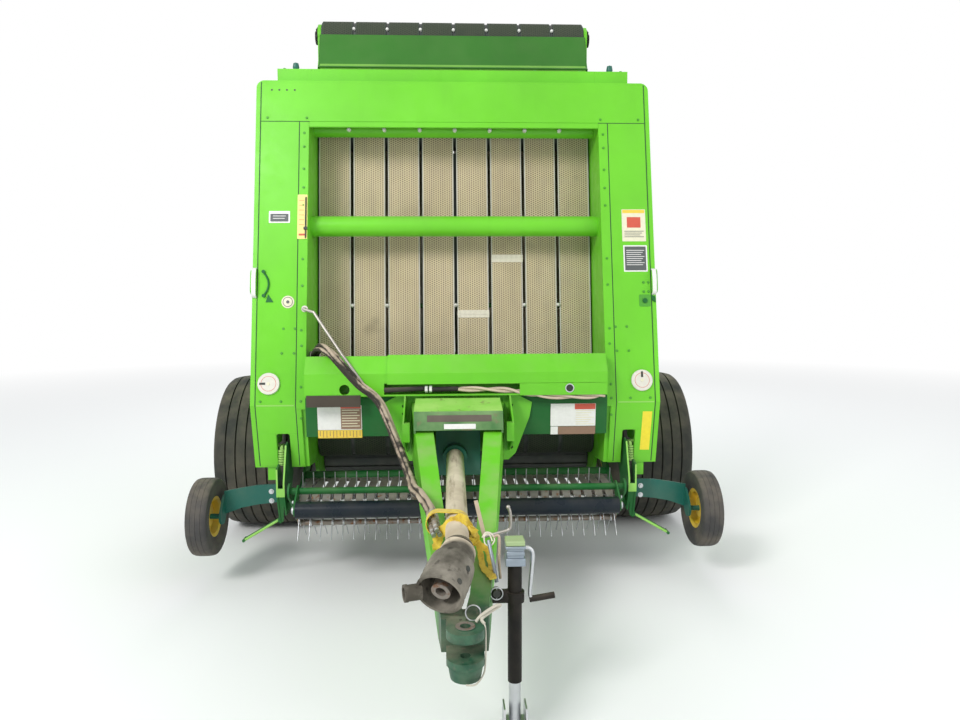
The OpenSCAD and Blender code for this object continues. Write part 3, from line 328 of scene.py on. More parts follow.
def tongue_paint():
    """Paint of the tongue, darker toward the hitch in painted shade, where grease and wear cover the casting.
    """
    shader = Shader("green_tongue")
    green = shader.spotted((0.115, 0.46, 0.017), (0.155, 0.60, 0.022), 1.6, 4, 0.3, 0.7)
    # painted shade: the darker greens that the tongue takes toward the hitch
    low = shader.mix(shader.noise(5, 4), (0.022, 0.17, 0.035), (0.04, 0.24, 0.045))
    cast = shader.spotted((0.012, 0.062, 0.032), (0.035, 0.12, 0.065), 16, 6, 0.38, 0.66)
    worn = shader.between(shader.noise(30, 6, 0.7), 0.56, 0.66, 0, 0.75)
    worn = shader.maths("MULTIPLY", worn, shader.between(shader.up(), 0.2, 0.8, 0.35, 1))
    cast = shader.mix(worn, cast, (0.17, 0.145, 0.115))
    place = shader.axis("Y")
    # painted shade darkens the tongue toward the hitch
    shade = shader.mix(shader.between(place, *(AXLE_Y - reach for reach in TONGUE_SHADE_REACH)), green, low)
    shade = shader.mix(shader.between(place, *(AXLE_Y - reach for reach in CAST_BEGINS)), shade, cast)
    shade, cover = shader.dusted(shade, 0.3)
    shader.grain(260, 3, 0.0006, 0.3)
    rough = shader.between(cover, 0, 0.6, 0.4, 0.8)
    return shader.set(Base_Color=shade, Roughness=rough, Specular_IOR_Level=0.35)


def hood_paint():
    """Paint of the tongue's hood: a painted highlight on top, and painted shade with some grime on its
    sloping front.
    """
    shader = Shader("green_hood")
    top = shader.spotted((0.22, 0.60, 0.06), (0.42, 0.70, 0.17), 5, 5, 0.35, 0.68)
    front = shader.spotted((0.055, 0.16, 0.045), (0.17, 0.29, 0.115), 7, 5, 0.35, 0.65)
    # painted light: lighter where the surface faces up, darker on the sloping front
    shade = shader.mix(shader.between(shader.up(), 0.55, 0.85), front, top)
    shade = shader.spotted(shade, (0.20, 0.15, 0.09), 19, 4, 0.60, 0.70, 0.7)
    shader.grain(240, 3, 0.0006, 0.3)
    return shader.set(Base_Color=shade, Roughness=0.5, Specular_IOR_Level=0.3)


def webbing():
    """Woven strap."""
    shader = Shader("strap_yellow")
    wave = shader.node("TexWave", {"Vector": shader.place, "Scale": 160, "Distortion": 2})
    warp = wave.outputs["Fac"]
    shade = shader.mix(warp, (0.70, 0.47, 0.02), (0.88, 0.66, 0.07))
    shade = shader.spotted(shade, (0.40, 0.20, 0.02), 40, 4, 0.5, 0.75, 0.7)
    shader.bump(warp, 0.0008, 0.6)
    return shader.set(Base_Color=shade, Roughness=0.8, Sheen_Weight=0.25)


def bleached_hose():
    """Hoses bleached and chalked by the sun on top, dark below and where they are rubbed."""
    shader = Shader("hose_bleached")
    black = shader.mix(shader.noise(30, 4), (0.022, 0.019, 0.016), (0.060, 0.050, 0.040))
    chalk = shader.mix(shader.noise(12, 5), (0.30, 0.22, 0.15), (0.60, 0.50, 0.38))
    patches = shader.between(shader.noise(6, 5, 0.65), 0.34, 0.66, -1.0, 0.5)
    lit = shader.maths("ADD", shader.up(), patches)
    shade = shader.mix(shader.between(lit, 0.0, 0.5), black, chalk)
    shader.grain(300, 3, 0.0006, 0.4)
    return shader.set(Base_Color=shade, Roughness=0.82, Specular_IOR_Level=0.3)


def plain(name, colour, rough=0.5, grain=60):
    """Small pieces: colour with slow changes, a little grime and fine grain."""
    shader = Shader(name)
    shade = shader.mix(shader.noise(grain, 4), scaled(colour, 0.82), colour)
    shade, _ = shader.dusted(shade, 0.15)
    shader.grain(600, 2, 0.0003, 0.3)
    return shader.set(Base_Color=shade, Roughness=rough)


PAINT = {
    # painted light: this bright green is the paint as it looks in sunlight; the deeper greens below are the
    # same paint in painted shade
    "green": painted("green_paint", (0.145, 0.565, 0.020), 0.12),
    "frame": painted("green_frame", (0.07, 0.33, 0.025), 0.2),
    # painted shade: darker green for parts in shadow, the lower panels, floor pan, pickup frame and door
    # latch
    "deep": painted("green_deep", (0.012, 0.125, 0.026), 0.1, gloss=0.42, shine=0.2),
    # painted shade: dark green for the upper shield and the belt guide rod
    "shade": painted("green_painted_shade", (0.038, 0.175, 0.020), 0.1, shine=0.25),
    "teal": painted("green_teal", (0.010, 0.115, 0.085), 0.15),
    # painted highlight: lighter green for lit edges and folds
    "lit_green": painted("green_highlight", (0.27, 0.60, 0.10), 0.1),
    "cap_green": painted("green_cap", (0.34, 0.46, 0.22), 0.3),
    # painted highlight: lighter green for the lit lip of the shield
    "lip_highlight": painted("green_lip_highlight", (0.17, 0.44, 0.05), 0.1),
    "spring": painted("green_spring", (0.33, 0.58, 0.14), 0.1),
    "yellow": painted("yellow_paint", (0.72, 0.47, 0.025), 0.3),
    "black": painted("black_paint", (0.009, 0.008, 0.007), 0.1, gloss=0.42, shine=0.16),
    "roller": painted("roller_black", (0.008, 0.014, 0.021), 0.04, gloss=0.22, shine=0.2),
    "hood": hood_paint(),
    "tongue": tongue_paint(),
    "belt": belt_rubber(),
    "bleached": bleached_hose(),
    "guard": guard_plastic(),
    "strap": webbing(),
    "tyre": rubber("tyre_rubber", (0.030, 0.032, 0.026), 0.26),
    "gauge_tyre": rubber("gauge_rubber", (0.050, 0.048, 0.047), 0.3),
    "hose": rubber("hose_rubber", (0.022, 0.020, 0.019), 0.2),
    "sand_hose": rubber("hose_sand", (0.62, 0.50, 0.38), 0.3),
    "steel": bare_metal("steel", (0.50, 0.47, 0.43), 0.4),
    "band": bare_metal("band_steel", (0.30, 0.29, 0.26), 0.45, metallic=0.8, rust=0.06),
    "bright": bare_metal("zinc", (0.66, 0.68, 0.70), 0.3, dust=0.1),
    "blue_zinc": bare_metal("blue_zinc", (0.33, 0.39, 0.45), 0.36, metallic=0.7, dust=0.15),
    "rusty": bare_metal("rusty_steel", (0.30, 0.27, 0.24), 0.5, metallic=0.7, rust=0.1),
    "roll": bare_metal("roll_steel", (0.07, 0.08, 0.075), 0.42, metallic=0.5, dust=0.15),
    "chrome": bare_metal("chrome_rod", (0.80, 0.81, 0.83), 0.12, dust=0.1),
    "copper": bare_metal("copper_rod", (0.66, 0.53, 0.40), 0.5, metallic=0.3),
    "cream": plain("cream_plastic", (0.80, 0.76, 0.55)),
    "white": plain("white_plate", (0.84, 0.83, 0.79), 0.45),
    "dial": plain("dial_plate", (0.74, 0.71, 0.62)),
    "lace": plain("belt_lacing", (0.90, 0.84, 0.70)),
    "lace_gap": plain("lacing_gap", (0.42, 0.35, 0.26), 0.7),
    "bell": plain("bell_plastic", (0.085, 0.070, 0.052), 0.7, grain=24),
    "rust_label": plain("faded_label", (0.095, 0.075, 0.055), 0.6),
    # Dark trim, and painted shade where it fills holes
    "dark": plain("dark_trim_and_hole_shade", (0.016, 0.022, 0.018)),
    # painted shade: dark green strips in the seams between the face's sheets
    "seam_shade": plain("seam_shadow", (0.012, 0.075, 0.014), 0.7),
    # painted shade and dust: dark brown for the cross member's recess
    "recess": plain("beam_recess_shade_and_dust", (0.060, 0.048, 0.034), 0.85, grain=30),
    "grey_label": plain("grey_label", (0.085, 0.095, 0.095)),
    "amber": plain("amber_strip", (0.86, 0.60, 0.06), 0.4),
    "reflector": plain("reflector_yellow", (0.92, 0.76, 0.03), 0.3),
    "brown_label": plain("brown_label", (0.27, 0.16, 0.10)),
    "gold": plain("scale_yellow", (0.88, 0.78, 0.25), 0.45),
    "red": plain("red_mark", (0.62, 0.09, 0.05)),
    "rope": plain("rope_white", (0.60, 0.56, 0.46), 0.9),
}

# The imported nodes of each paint; a node that isn't named here has the frame's paint
NODES_IN = {
    "green": "side_wall_l side_wall_r front_face cross_tube lower_beam side_frame_l side_frame_r top_frame "
             "gate_wall_l gate_wall_r gate_frame door_l door_r",
    # painted shade: these nodes take the darker green of parts in shadow
    "deep": "lower_panel floor_pan pickup_frame",
    "teal": "gearbox gauge_arms",
    # painted shade: the upper shield takes a darker green
    "shade": "upper_shield",
    "tongue": "tongue",
    "hood": "tongue_hood",
    "belt": "belts_front belts_rear",
    "roll": "belt_rolls_front belt_rolls_rear drive_shaft starter_roll",
    "black": "jack_tube barrel_l barrel_r",
    "chrome": "rod_l rod_r",
    "tyre": "tyre_l tyre_r",
    "gauge_tyre": "gauge_tyre_l gauge_tyre_r",
    "yellow": "rim_l rim_r gauge_rim_l gauge_rim_r",
    "guard": "drive_guard",
    "white": "face_fittings",
    "band": "stripper_bands",
    "steel": "tine_reel hose_fittings",
    "roller": "windguard_roller",
    "bright": "jack_leg",
    "rusty": "drive_yoke",
    "spring": "float_springs",
    "strap": "hose_strap",
}


def paint_nodes():
    """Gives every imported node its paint."""
    paint_of = {name: paint for paint, names in NODES_IN.items() for name in names.split()}
    for name, node in frame["nodes"].items():
        node.data.materials.clear()
        node.data.materials.append(PAINT[paint_of.get(name, "frame")])


# Mesh making, in millimetres


def turned(direction):
    """Rotation that carries Z onto a direction."""
    return Vector(direction).to_track_quat("Z", "Y").to_matrix().to_4x4()


def facing(at, direction):
    """Frame at a place, with Z along a direction."""
    return Matrix.Translation(at) @ turned(direction)


def rolled(at, angle, axis="X"):
    """Frame at a place, turned about one axis by an angle in degrees."""
    return Matrix.Translation(at) @ Matrix.Rotation(math.radians(angle), 4, axis)


def outward(side, x, y, z):
    """Frame at a place on the left or the right, with Z pointing away from the machine's middle."""
    return facing((side * x, y, z), (side, 0, 0))


def circle(centre, r, angle):
    """Point of a circle in a plane, at an angle in degrees."""
    a = math.radians(angle)
    return centre[0] + r * math.cos(a), centre[1] + r * math.sin(a)


def arc(centre, r, start, end, steps=10):
    """Points of an arc in a plane, with its angles in degrees."""
    return [circle(centre, r, start + (end - start) * k / steps) for k in range(steps + 1)]


def smooth_line(points, per_span=6):
    """Points along a smooth curve through the given ones."""
    points = [Vector(p) for p in points]
    line = []
    for i in range(len(points) - 1):
        before, a, b = points[max(i - 1, 0)], points[i], points[i + 1]
        after = points[min(i + 2, len(points) - 1)]
        bend = 2 * before - 5 * a + 4 * b - after
        twist = 3 * a - before - 3 * b + after
        for k in range(per_span):
            t = k / per_span
            line.append(0.5 * ((2 * a) + (b - before) * t + bend * t * t + twist * t ** 3))
    return line + [points[-1]]


def directions(points):
    """Direction of a line at each of its points."""
    last = len(points) - 1
    return [(points[min(i + 1, last)] - points[max(i - 1, 0)]).normalized() for i in range(last + 1)]


class Form:
    """A mesh under construction, made of simple closed forms in the frame of the sections."""

    def __init__(self):
        self.bm = bmesh.new()

    def box(self, low, high, place=Matrix()):
        low, high = Vector(low), Vector(high)
        shape = Matrix.Translation((low + high) / 2) @ Matrix.Diagonal((*(high - low), 1))
        bmesh.ops.create_cube(self.bm, size=1, matrix=place @ shape)
        return self

    def bar(self, a, b, r, r2=None, sides=24, place=Matrix()):
        """A round bar from a to b, or a cone where a second radius is given."""
        a, b = Vector(a), Vector(b)
        end = r if r2 is None else r2
        shape = {"segments": sides, "radius1": r, "radius2": end, "depth": (b - a).length}
        bmesh.ops.create_cone(self.bm, cap_ends=True, matrix=place @ facing((a + b) / 2, b - a), **shape)
        return self

    def disc(self, place, low, high, r, sides=24, r2=None):
        """A cylinder between two heights along the local Z axis."""
        return self.bar((0, 0, low), (0, 0, high), r, r2, sides, place)

    def ball(self, at, r):
        shape = Matrix.Translation(at) @ Matrix.Diagonal((r, r, r, 1))
        bmesh.ops.create_uvsphere(self.bm, u_segments=20, v_segments=12, radius=1, matrix=shape)
        return self

    def skin(self, rings, closed=False):
        """Faces between rings of corners, with caps on both ends unless the rings run round."""
        rings = [[self.bm.verts.new(corner) for corner in ring] for ring in rings]
        count = len(rings[0])
        first_again = rings[:1] if closed else []
        for ring, after in zip(rings, rings[1:] + first_again):
            for k in range(count):
                j = (k + 1) % count
                self.bm.faces.new((ring[k], ring[j], after[j], after[k]))
        if not closed:
            self.bm.faces.new(reversed(rings[0]))
            self.bm.faces.new(rings[-1])
        return self

    def plate(self, outline, t, place=Matrix()):
        """A flat outline with thickness t along the local Z axis."""
        return self.skin([[place @ Vector((x, y, z)) for x, y in outline] for z in (0, t)])

    def rounded_plate(self, place, w, h, r=3, t=1.2):
        """A sheet with round corners."""
        x, y = w / 2 - r, h / 2 - r
        corners = enumerate(((x, y), (-x, y), (-x, -y), (x, -y)))
        outline = [p for k, corner in corners for p in arc(corner, r, 90 * k, 90 * k + 90, 5)]
        return self.plate(outline, t, place)

    def lathe(self, profile, place=Matrix(), sides=64):
        """A closed profile of (radius, height) points turned about the local Z axis."""
        rings = []
        for k in range(sides):
            a = 2 * math.pi * k / sides
            rings.append([place @ Vector((r * math.cos(a), r * math.sin(a), h)) for r, h in profile])
        return self.skin(rings, closed=True)

    def ring(self, place, inner, outer, low, high, sides=40):
        """A ring with a square section between two radii and two heights."""
        return self.lathe([(inner, low), (outer, low), (outer, high), (inner, high)], place, sides)

    def tube(self, points, r, sides=10, closed=False):
        """A round tube along a smooth line of points."""
        points = [Vector(p) for p in points]
        count = len(points)
        side = None
        rings = []
        for i, p in enumerate(points):
            before = points[i - 1] if i or closed else p
            after = points[(i + 1) % count] if i < count - 1 or closed else p
            along = (after - before).normalized()
            if side is None:
                side = along.orthogonal().normalized()
            side = (side - along * side.dot(along)).normalized()
            other = along.cross(side)
            angles = [2 * math.pi * k / sides for k in range(sides)]
            rings.append([p + (side * math.cos(a) + other * math.sin(a)) * r for a in angles])
        return self.skin(rings, closed)

    def strip(self, points, halves):
        """A strap with the corners of each section given by half its width and half its thickness."""
        rings = [(p - w - t, p + w - t, p + w + t, p - w + t) for p, (w, t) in zip(points, halves)]
        return self.skin(rings)

    def ribbon(self, points, width_axis, width, t):
        """A flat strap along a line of points, with its width along one axis."""
        points = [Vector(p) for p in points]
        across = Vector(width_axis).normalized() * width / 2
        outs = [along.cross(across).normalized() * t / 2 for along in directions(points)]
        return self.strip(points, [(across, out) for out in outs])

    def band(self, points, width, t, turn):
        """A flat strap that faces the front, with folds: it turns to and fro about its own line."""
        halves = []
        for i, along in enumerate(directions(points)):
            across = along.cross(Vector((0, -0.94, 0.34))).normalized()
            across = Matrix.Rotation(turn * math.sin(i * 0.55), 3, along) @ across
            half = across * width / 2 * (1 - 0.22 * math.sin(i * 0.9) ** 2)
            halves.append((half, along.cross(across) * t / 2))
        return self.strip(points, halves)

    def loop(self, place, r, wire):
        """A round ring of wire in the plane of a frame."""
        points = [place @ Vector((*circle((0, 0), r, 360 * k / 28), 0)) for k in range(28)]
        return self.tube(points, wire, 8, closed=True)

    def bolt(self, place, r):
        """A hexagon head on its washer, with its axis along the local Z axis."""
        return self.disc(place, 0, 2, r * 1.5, 20).disc(place, 1, 2 + r * 0.75, r, 6, r * 0.94)

    def piece(self, name, paint, body="root", round_edges=0.0, smooth_angle=40):
        """Makes the object, paints it and sets it riding on its body."""
        bmesh.ops.recalc_face_normals(self.bm, faces=self.bm.faces)
        mesh = bpy.data.meshes.new(name)
        self.bm.to_mesh(mesh)
        self.bm.free()
        mesh.transform(TO_ROW)
        mesh.shade_smooth()
        mesh.set_sharp_from_angle(angle=math.radians(smooth_angle))
        mesh.materials.append(PAINT[paint])
        made = bpy.data.objects.new(name, mesh)
        bpy.context.scene.collection.objects.link(made)
        if round_edges:
            bevel = made.modifiers.new("rounded", "BEVEL")
            bevel.width = round_edges / 1000
            bevel.segments = 2
            bevel.limit_method = "ANGLE"
            bevel.angle_limit = math.radians(40)
        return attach(made, body)


# Sheets and fittings of the front face

SEAM = 3
SPLIT_Z = 2436


def face_sheet(form, x0, x1, z0, z1, t=SHEET_T):
    """A thin sheet lying on the face between two heights, bent at the fold if it crosses it."""
    x0, x1 = sorted((x0, x1))
    bent = z0 < FOLD_Z < z1
    rows = []
    for z in [z0, FOLD_Z, z1] if bent else [z0, z1]:
        lean = FACE_LEAN if z > FOLD_Z or z0 >= FOLD_Z else -LOW_LEAN
        if bent and z == FOLD_Z:
            lean = 0
        y, dy, dz = face_y(z), -math.cos(lean) * t, math.sin(lean) * t
        rows.append(((x0, y, z), (x1, y, z), (x1, y + dy, z + dz), (x0, y + dy, z + dz)))
    form.skin(rows)


def face_sheets():
    """Top sheet, side columns and jamb strips, strips of painted shade in the seams between them, and a
    painted highlight along the fold.
    """
    form, lines, folds = Form(), Form(), Form()
    top_z, low_z, beam_z, slot_z = FACE_TOP_Z - 12, FACE_LOW_Z + 8, FOLD_Z - 22, SLOT_TOP_Z + 2
    slot_half = SLOT_W / 2 + 2
    face_sheet(form, -SEAM_X, SEAM_X, SPLIT_Z + SEAM, top_z)
    face_sheet(form, -WINDOW_X, WINDOW_X, WINDOW_TOP_Z + 2, SPLIT_Z)
    for side in SIDES:
        for x0, x1, z0, z1 in (
            (JAMB_SEAM_X + SEAM, SEAM_X, slot_z, SPLIT_Z),
            (JAMB_SEAM_X + SEAM, SLOT_X - slot_half, low_z, slot_z),
            (SLOT_X + slot_half, SEAM_X, low_z, slot_z),
            (WINDOW_X + 1, JAMB_SEAM_X, beam_z, SPLIT_Z),
            (WALL_X + 2, JAMB_SEAM_X, low_z, beam_z),
        ):
            face_sheet(form, side * x0, side * x1, z0, z1)
        # painted shade: dark strips in the seams
        for x, high in ((SEAM_X + 2, top_z), (JAMB_SEAM_X + 1.5, SPLIT_Z)):
            face_sheet(lines, side * (x - 2.5), side * (x + 2.5), low_z, high, SHEET_T + 0.4)
        face_sheet(lines, side * WINDOW_X, side * SEAM_X, SPLIT_Z - 0.5, SPLIT_Z + 3.5, SHEET_T + 0.3)
        inner, outer = JAMB_SEAM_X + 10, SEAM_X - 4
        # painted highlight along the lit edge of the fold
        face_sheet(folds, side * inner, side * outer, FOLD_Z - 3, FOLD_Z + 3, SHEET_T + 0.7)
    form.piece("face_sheets", "green", round_edges=0.9)
    lines.piece("seam_shadow_lines", "seam_shade")
    folds.piece("fold_highlights", "lit_green")


def face_bolts():
    """Screws along the seams of the face, and dark discs of painted shade for the open holes at its upper
    left.
    """
    both = [(1000, 2457), (792, 2457), (1010, 968), (905, 968), (804, 968), (806, 1330), (806, 880)]
    both += [(804, z) for z in (2375, 2300, 2180, 2080, 1985, 1700, 1560, 1250, 1040)]
    both += [(838, 1338), (898, 1338), (842, 1212), (905, 1212)]
    rows = [(side * x, z) for side in SIDES for x, z in both]
    rows += [(x, z) for z in (1571, 1522) for x in (996, 1022)]
    form, holes = Form(), Form()
    for x, z in rows:
        form.bolt(on_face(x, z), 4.6)
    form.piece("face_bolts", "frame", smooth_angle=25)
    # painted shade: dark discs for the open holes
    for x in (-980, -940, -900, -858):
        holes.disc(on_face(x, 2610), 0, 0.6, 5, 16)
    holes.piece("face_holes", "dark")


LATCH_CURVE = ((-1004, 1633), (-982, 1595), (-977, 1565), (-984, 1535), (-1001, 1508))


def face_handles():
    """Strap handles at the outer edges of the face, with the latch beside each."""
    grips, latch = Form(), Form()
    for side, low, high in ((-1, 1500, 1652), (1, 1508, 1642)):
        bends = [(high, 0), (high - 6, 16), (high - 22, 24), ((low + high) / 2, 27)]
        bends += [(low + 22, 24), (low + 6, 16), (low, 0)]
        line = [on_face(side * 1050, z, out).translation for z, out in bends]
        grips.ribbon(smooth_line(line, 5), RIGHT, 22, 7)
    grips.piece("face_handles", "white", round_edges=1.5)
    latch.tube(smooth_line([on_face(x, z, SHEET_T + 5).translation for x, z in LATCH_CURVE], 5), 5)
    for x, z in (LATCH_CURVE[0], LATCH_CURVE[-1]):
        latch.disc(on_face(x, z), 0, 12, 9, 16)
    latch.plate([(0, 0), (28, -42), (-12, -42)], 3, on_face(-979, 1516))
    latch.plate([(0, 0), (24, -8), (26, -40), (8, -30)], 4, on_face(1032, 1504))
    latch.disc(on_face(1000, 1474, SHEET_T + 2), 0, 6, 13)
    # painted shade: the latch takes the darker green of parts in shadow
    latch.piece("door_latch", "deep")
    Form().rounded_plate(on_face(1000, 1475), 60, 64, 6, 2).piece("latch_plate", "frame")


def face_plates():
    """Blank plates and reflective strips on the face."""
    for name, paint, x, z, w, h in (
        ("plate_right_upper", "cream", 955, 1877, 128, 176),
        ("plate_right_lower", "white", 958, 1699, 128, 144),
        ("plate_left", "white", -928, 1922, 110, 64),
    ):
        Form().rounded_plate(on_face(x, z), w, h).piece(name, paint)
    for name, paint, x, z, w, h in (
        ("panel_right_upper", "amber", 955, 1952, 120, 18),
        ("panel_right_middle", "red", 955, 1893, 74, 58),
        ("panel_right_lower", "grey_label", 958, 1699, 114, 130),
        ("panel_left", "grey_label", -928, 1918, 94, 42),
    ):
        Form().rounded_plate(on_face(x, z, SHEET_T + 1.1), w, h, 2, 0.5).piece(name, paint)
    # Plain bars in rows, in place of the wording of a plate
    for name, paint, x, z, w, count, pitch in (
        ("lines_right_upper", "grey_label", 955, 1845, 104, 4, 10),
        ("lines_right_lower", "white", 958, 1742, 96, 8, 11),
        ("lines_left", "white", -928, 1927, 66, 2, 13),
    ):
        form = Form()
        for k in range(count):
            half = w / 2 * (1 - 0.18 * (k % 3))
            form.box((-w / 2, -1.5, 0), (half, 1.5, 0.4), on_face(x, z - k * pitch, SHEET_T + 1.7))
        form.piece(name, paint)
    slanted = on_face(997, 789) @ Matrix.Rotation(math.radians(-0.6), 4, "Z")
    Form().rounded_plate(slanted, 50, 218, 2, 1).piece("reflector_right", "reflector")


def dials():
    """Round plain dials low on both columns, each with a short pointer and a cap, and the left badge."""
    form, marks, caps, rings = Form(), Form(), Form(), Form()
    for side, pointer in ((-1, 90), (1, 0)):
        place = on_face(side * 967, 1058)
        form.lathe([(0.01, 0), (56, 0), (56, 10), (54, 12.5), (0.01, 12.5)], place, 64)
        rings.ring(place, 37, 39, 12.4, 12.9, 56)
        turn = place @ Matrix.Rotation(math.radians(pointer), 4, "Z")
        marks.plate([(-6, 16), (6, 16), (5, 46), (-5, 46)], 1.2, turn @ Matrix.Translation((0, 0, 12.4)))
        caps.disc(place, 12, 15, 8)
    made = form.piece("dial_faces", "dial", smooth_angle=30)
    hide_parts("face_fittings")
    marks.piece("dial_marks", "dark")
    caps.piece("dial_caps", "cream", smooth_angle=30)
    rings.piece("dial_rings", "red")
    place = on_face(-877, 1476)
    badge = Form().lathe([(0.01, 0), (33, 0), (33, 2), (30, 3.5), (0.01, 3.5)], place, 40)
    badge.piece("round_badge", "cream")
    mark = Form().ring(place, 23, 26, 3.4, 3.9)
    mark.disc(place, 3, 5, 9, 6).piece("badge_mark", "grey_label")


def size_scale():
    """Upright bale size scale with its tick marks and the slider's rod beside it."""
    Form().rounded_plate(on_face(-808, 1923), 52, 240, 4, 3).piece("bale_scale", "gold")
    marks = Form()
    for k in range(6):
        marks.box((-18, -1.1, 0), (8, 1.1, 0.5), on_face(-808, 1880 + k * 26, SHEET_T + 3))
    marks.box((-18, -5, 0), (18, 5, 0.5), on_face(-808, 1828, SHEET_T + 3))
    marks.piece("bale_scale_marks", "red")
    rod = Form().bar((0, -115, 7), (0, 105, 7), 3.5, sides=12, place=on_face(-790, 1923))
    rod.box((-9, -6, 0), (9, 6, 12), on_face(-790, 1860, SHEET_T + 3)).piece("scale_slider", "dark")


GUIDE_ROD = [
    (-790, -1045, 1440), (-790, -1085, 1440), (-733, -1110, 1424), (-577, -1200, 1206), (-414, -1262, 990),
]


def guide_rod():
    """Bent rod that carries the hoses past the window's corner, with its foot on the cross member."""
    form = Form()
    for a, b in zip(GUIDE_ROD, GUIDE_ROD[1:]):
        form.bar(a, b, 8, sides=16).ball(b, 8)
    x, y, z = GUIDE_ROD[-1]
    form.box((x - 10, y, z), (x + 10, y + 50, z + 9.5))
    form.ring(facing(GUIDE_ROD[0], (0, -1, 0.197)), 8, 17, 0, 6, 20)
    form.piece("hose_guide_rod", "steel")


def belt_place(x, z, out=0.0):
    """Frame on the front run of the belts below the guide roll: Z out of the belt, Y up along it."""
    top, low = Vector((0, *GUIDE_ROLL)), Vector((0, *FRONT_ROLL))
    up = (top - low).normalized()
    normal = Vector((0, -up.z, up.y))
    start = low + normal * (ROLL_R + BELT_T)
    place = start + up * ((z - start.z) / up.z) + normal * out
    place.x = x
    return axes(place, RIGHT, up, normal)


def belt_lacing():
    """Pale wire lacing of the joints in two of the belts."""
    form, gaps = Form(), Form()
    half = BELT_W / 2 - 4
    for lane, z in ((5, 1716), (4, 1402)):
        place = belt_place((lane - BELT_COUNT / 2 + 0.5) * BELT_PITCH, z)
        gaps.box((-half, -22, 0), (half, 22, 1.2), place)
        for k in range(25):
            hook = -half + k * 7.1
            form.box((hook, 1, 0.6), (hook + 5.2, 22, 3.4), place)
            form.box((hook, -20, 0.6), (hook + 5.2, -4, 2.6), place)
        form.bar((-half - 6, -1.5, 2), (half + 8, -1.5, 2), 2, sides=8, place=place)
    form.piece("belt_lacing", "lace")
    gaps.piece("lacing_backs", "lace_gap")


def belt_guides():
    """Guides between the belts: pins on the tube above the window, bits halfway and at the top roll."""
    form = Form()
    pin_z, bit_z, top_z = WINDOW_TOP_Z + 14, 1453, 3074
    for gap in range(1, BELT_COUNT):
        x = (gap - BELT_COUNT / 2) * BELT_PITCH
        form.bar((x, -690, pin_z + 4), (x, -742, pin_z), 12, 10, sides=16).ball((x, -742, pin_z), 11)
        form.bar((x, -390, top_z - 4), (x, -418, top_z), 9, sides=12).ball((x, -418, top_z), 9)
        if gap in (1, 2, 4, 6, 7):
            form.bar((x, -690, bit_z - 3), (x, -738, bit_z), 13, 9, sides=16)
            form.bar((x, -738, bit_z), (x, -752, bit_z), 9, 1, sides=16)
    form.piece("belt_guides", "white")
    # painted shade: the rod takes the dark green of parts in shadow
    Form().bar((-775, -676, 1450), (775, -676, 1450), 14).piece("belt_guide_rod", "shade")
    ends = [belt_place(0, z, -34).translation for z in (1470, 2330)]
    Form().ribbon(ends, RIGHT, 30, 5).piece("belt_centre_stay", "dark")


# Cover below the cross member on the right: its sides, heights and front, and its ringed hole
SKIRT_X, SKIRT_Z, SKIRT_Y = (315, 764), (1000, 1063), -1224
SKIRT_HOLE, SKIRT_HOLE_R = (570, 1035), 22


def beam_skirt():
    """Right part of the cross member's cover, down to its lower edge, with a ringed hole backed by a dark
    sheet of painted shade; the left recess, a dark sheet of painted shade and dust.
    """
    (x0, x1), (z0, z1), y = SKIRT_X, SKIRT_Z, SKIRT_Y
    (hole_x, hole_z), r = SKIRT_HOLE, SKIRT_HOLE_R
    form = Form().box((x0, y, z0), (hole_x - r, y + 3, z1)).box((hole_x + r, y, z0), (x1, y + 3, z1))
    for edge, start in ((z0, 180), (z1, 0)):
        rim = arc(SKIRT_HOLE, r, start, start + 180, 16)
        outline = rim + [(rim[-1][0], edge), (rim[0][0], edge)]
        form.plate(outline, 3, rolled((0, y + 3, 0), 90))
    form.piece("beam_skirt", "green")
    place = facing((hole_x, y + 1, hole_z), (0, -1, 0))
    Form().ring(place, r - 4, r + 1, -2, 3).piece("skirt_ring", "bright")
    back = r + 3
    # painted shade: a dark sheet behind the ringed hole
    hole = Form().box((hole_x - back, y + 4, hole_z - back), (hole_x + back, y + 5, hole_z + back))
    hole.piece("skirt_hole", "dark")
    # painted shade and dust: a dark brown sheet over the left recess
    Form().box((-760.5, -1221, 948.5), (-489.5, -1219.5, 1008)).piece("beam_recess_shade_and_dust", "recess")


# Wheels


def tyre_profile(r, w, rim, ribs, groove, depth):
    """Outline of a ribbed tyre as (radius, place across) points, from one bead to the other."""
    def up(share):
        return rim + (r - rim) * share

    def crown(x):
        return r - (r - rim) * 0.10 * abs(2 * x / w) ** 4

    wall = [
        (rim - 6, -0.36), (rim + 6, -0.375), (rim + 10, -0.40), (up(0.28), -0.455), (up(0.31), -0.458),
        (up(0.33), -0.470), (up(0.55), -0.498), (up(0.72), -0.496), (up(0.85), -0.478), (up(0.89), -0.474),
        (up(0.91), -0.462),
    ]
    tread = []
    pitch = w * 0.9 / ribs
    for k in range(ribs):
        start = k * pitch - w * 0.45
        end = start + pitch
        tread += [(crown(x), x) for x in (start + groove / 2, start + pitch / 2, end - groove / 2)]
        if k < ribs - 1:
            tread += [(crown(end) - depth, x) for x in (end - groove * 0.3, end + groove * 0.3)]
    inside = [(rim - 10, w * 0.2), (rim - 10, -w * 0.2)]
    return [(a, b * w) for a, b in wall] + tread + [(a, -b * w) for a, b in reversed(wall)] + inside


def tyre(name, node, body, centre, profile, paint, sides):
    """Tyre turned about its wheel's axle, in place of the plain one."""
    made = Form().lathe(profile, rolled(centre, 90, "Y"), sides).piece(name, paint, body, smooth_angle=32)
    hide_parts(node)


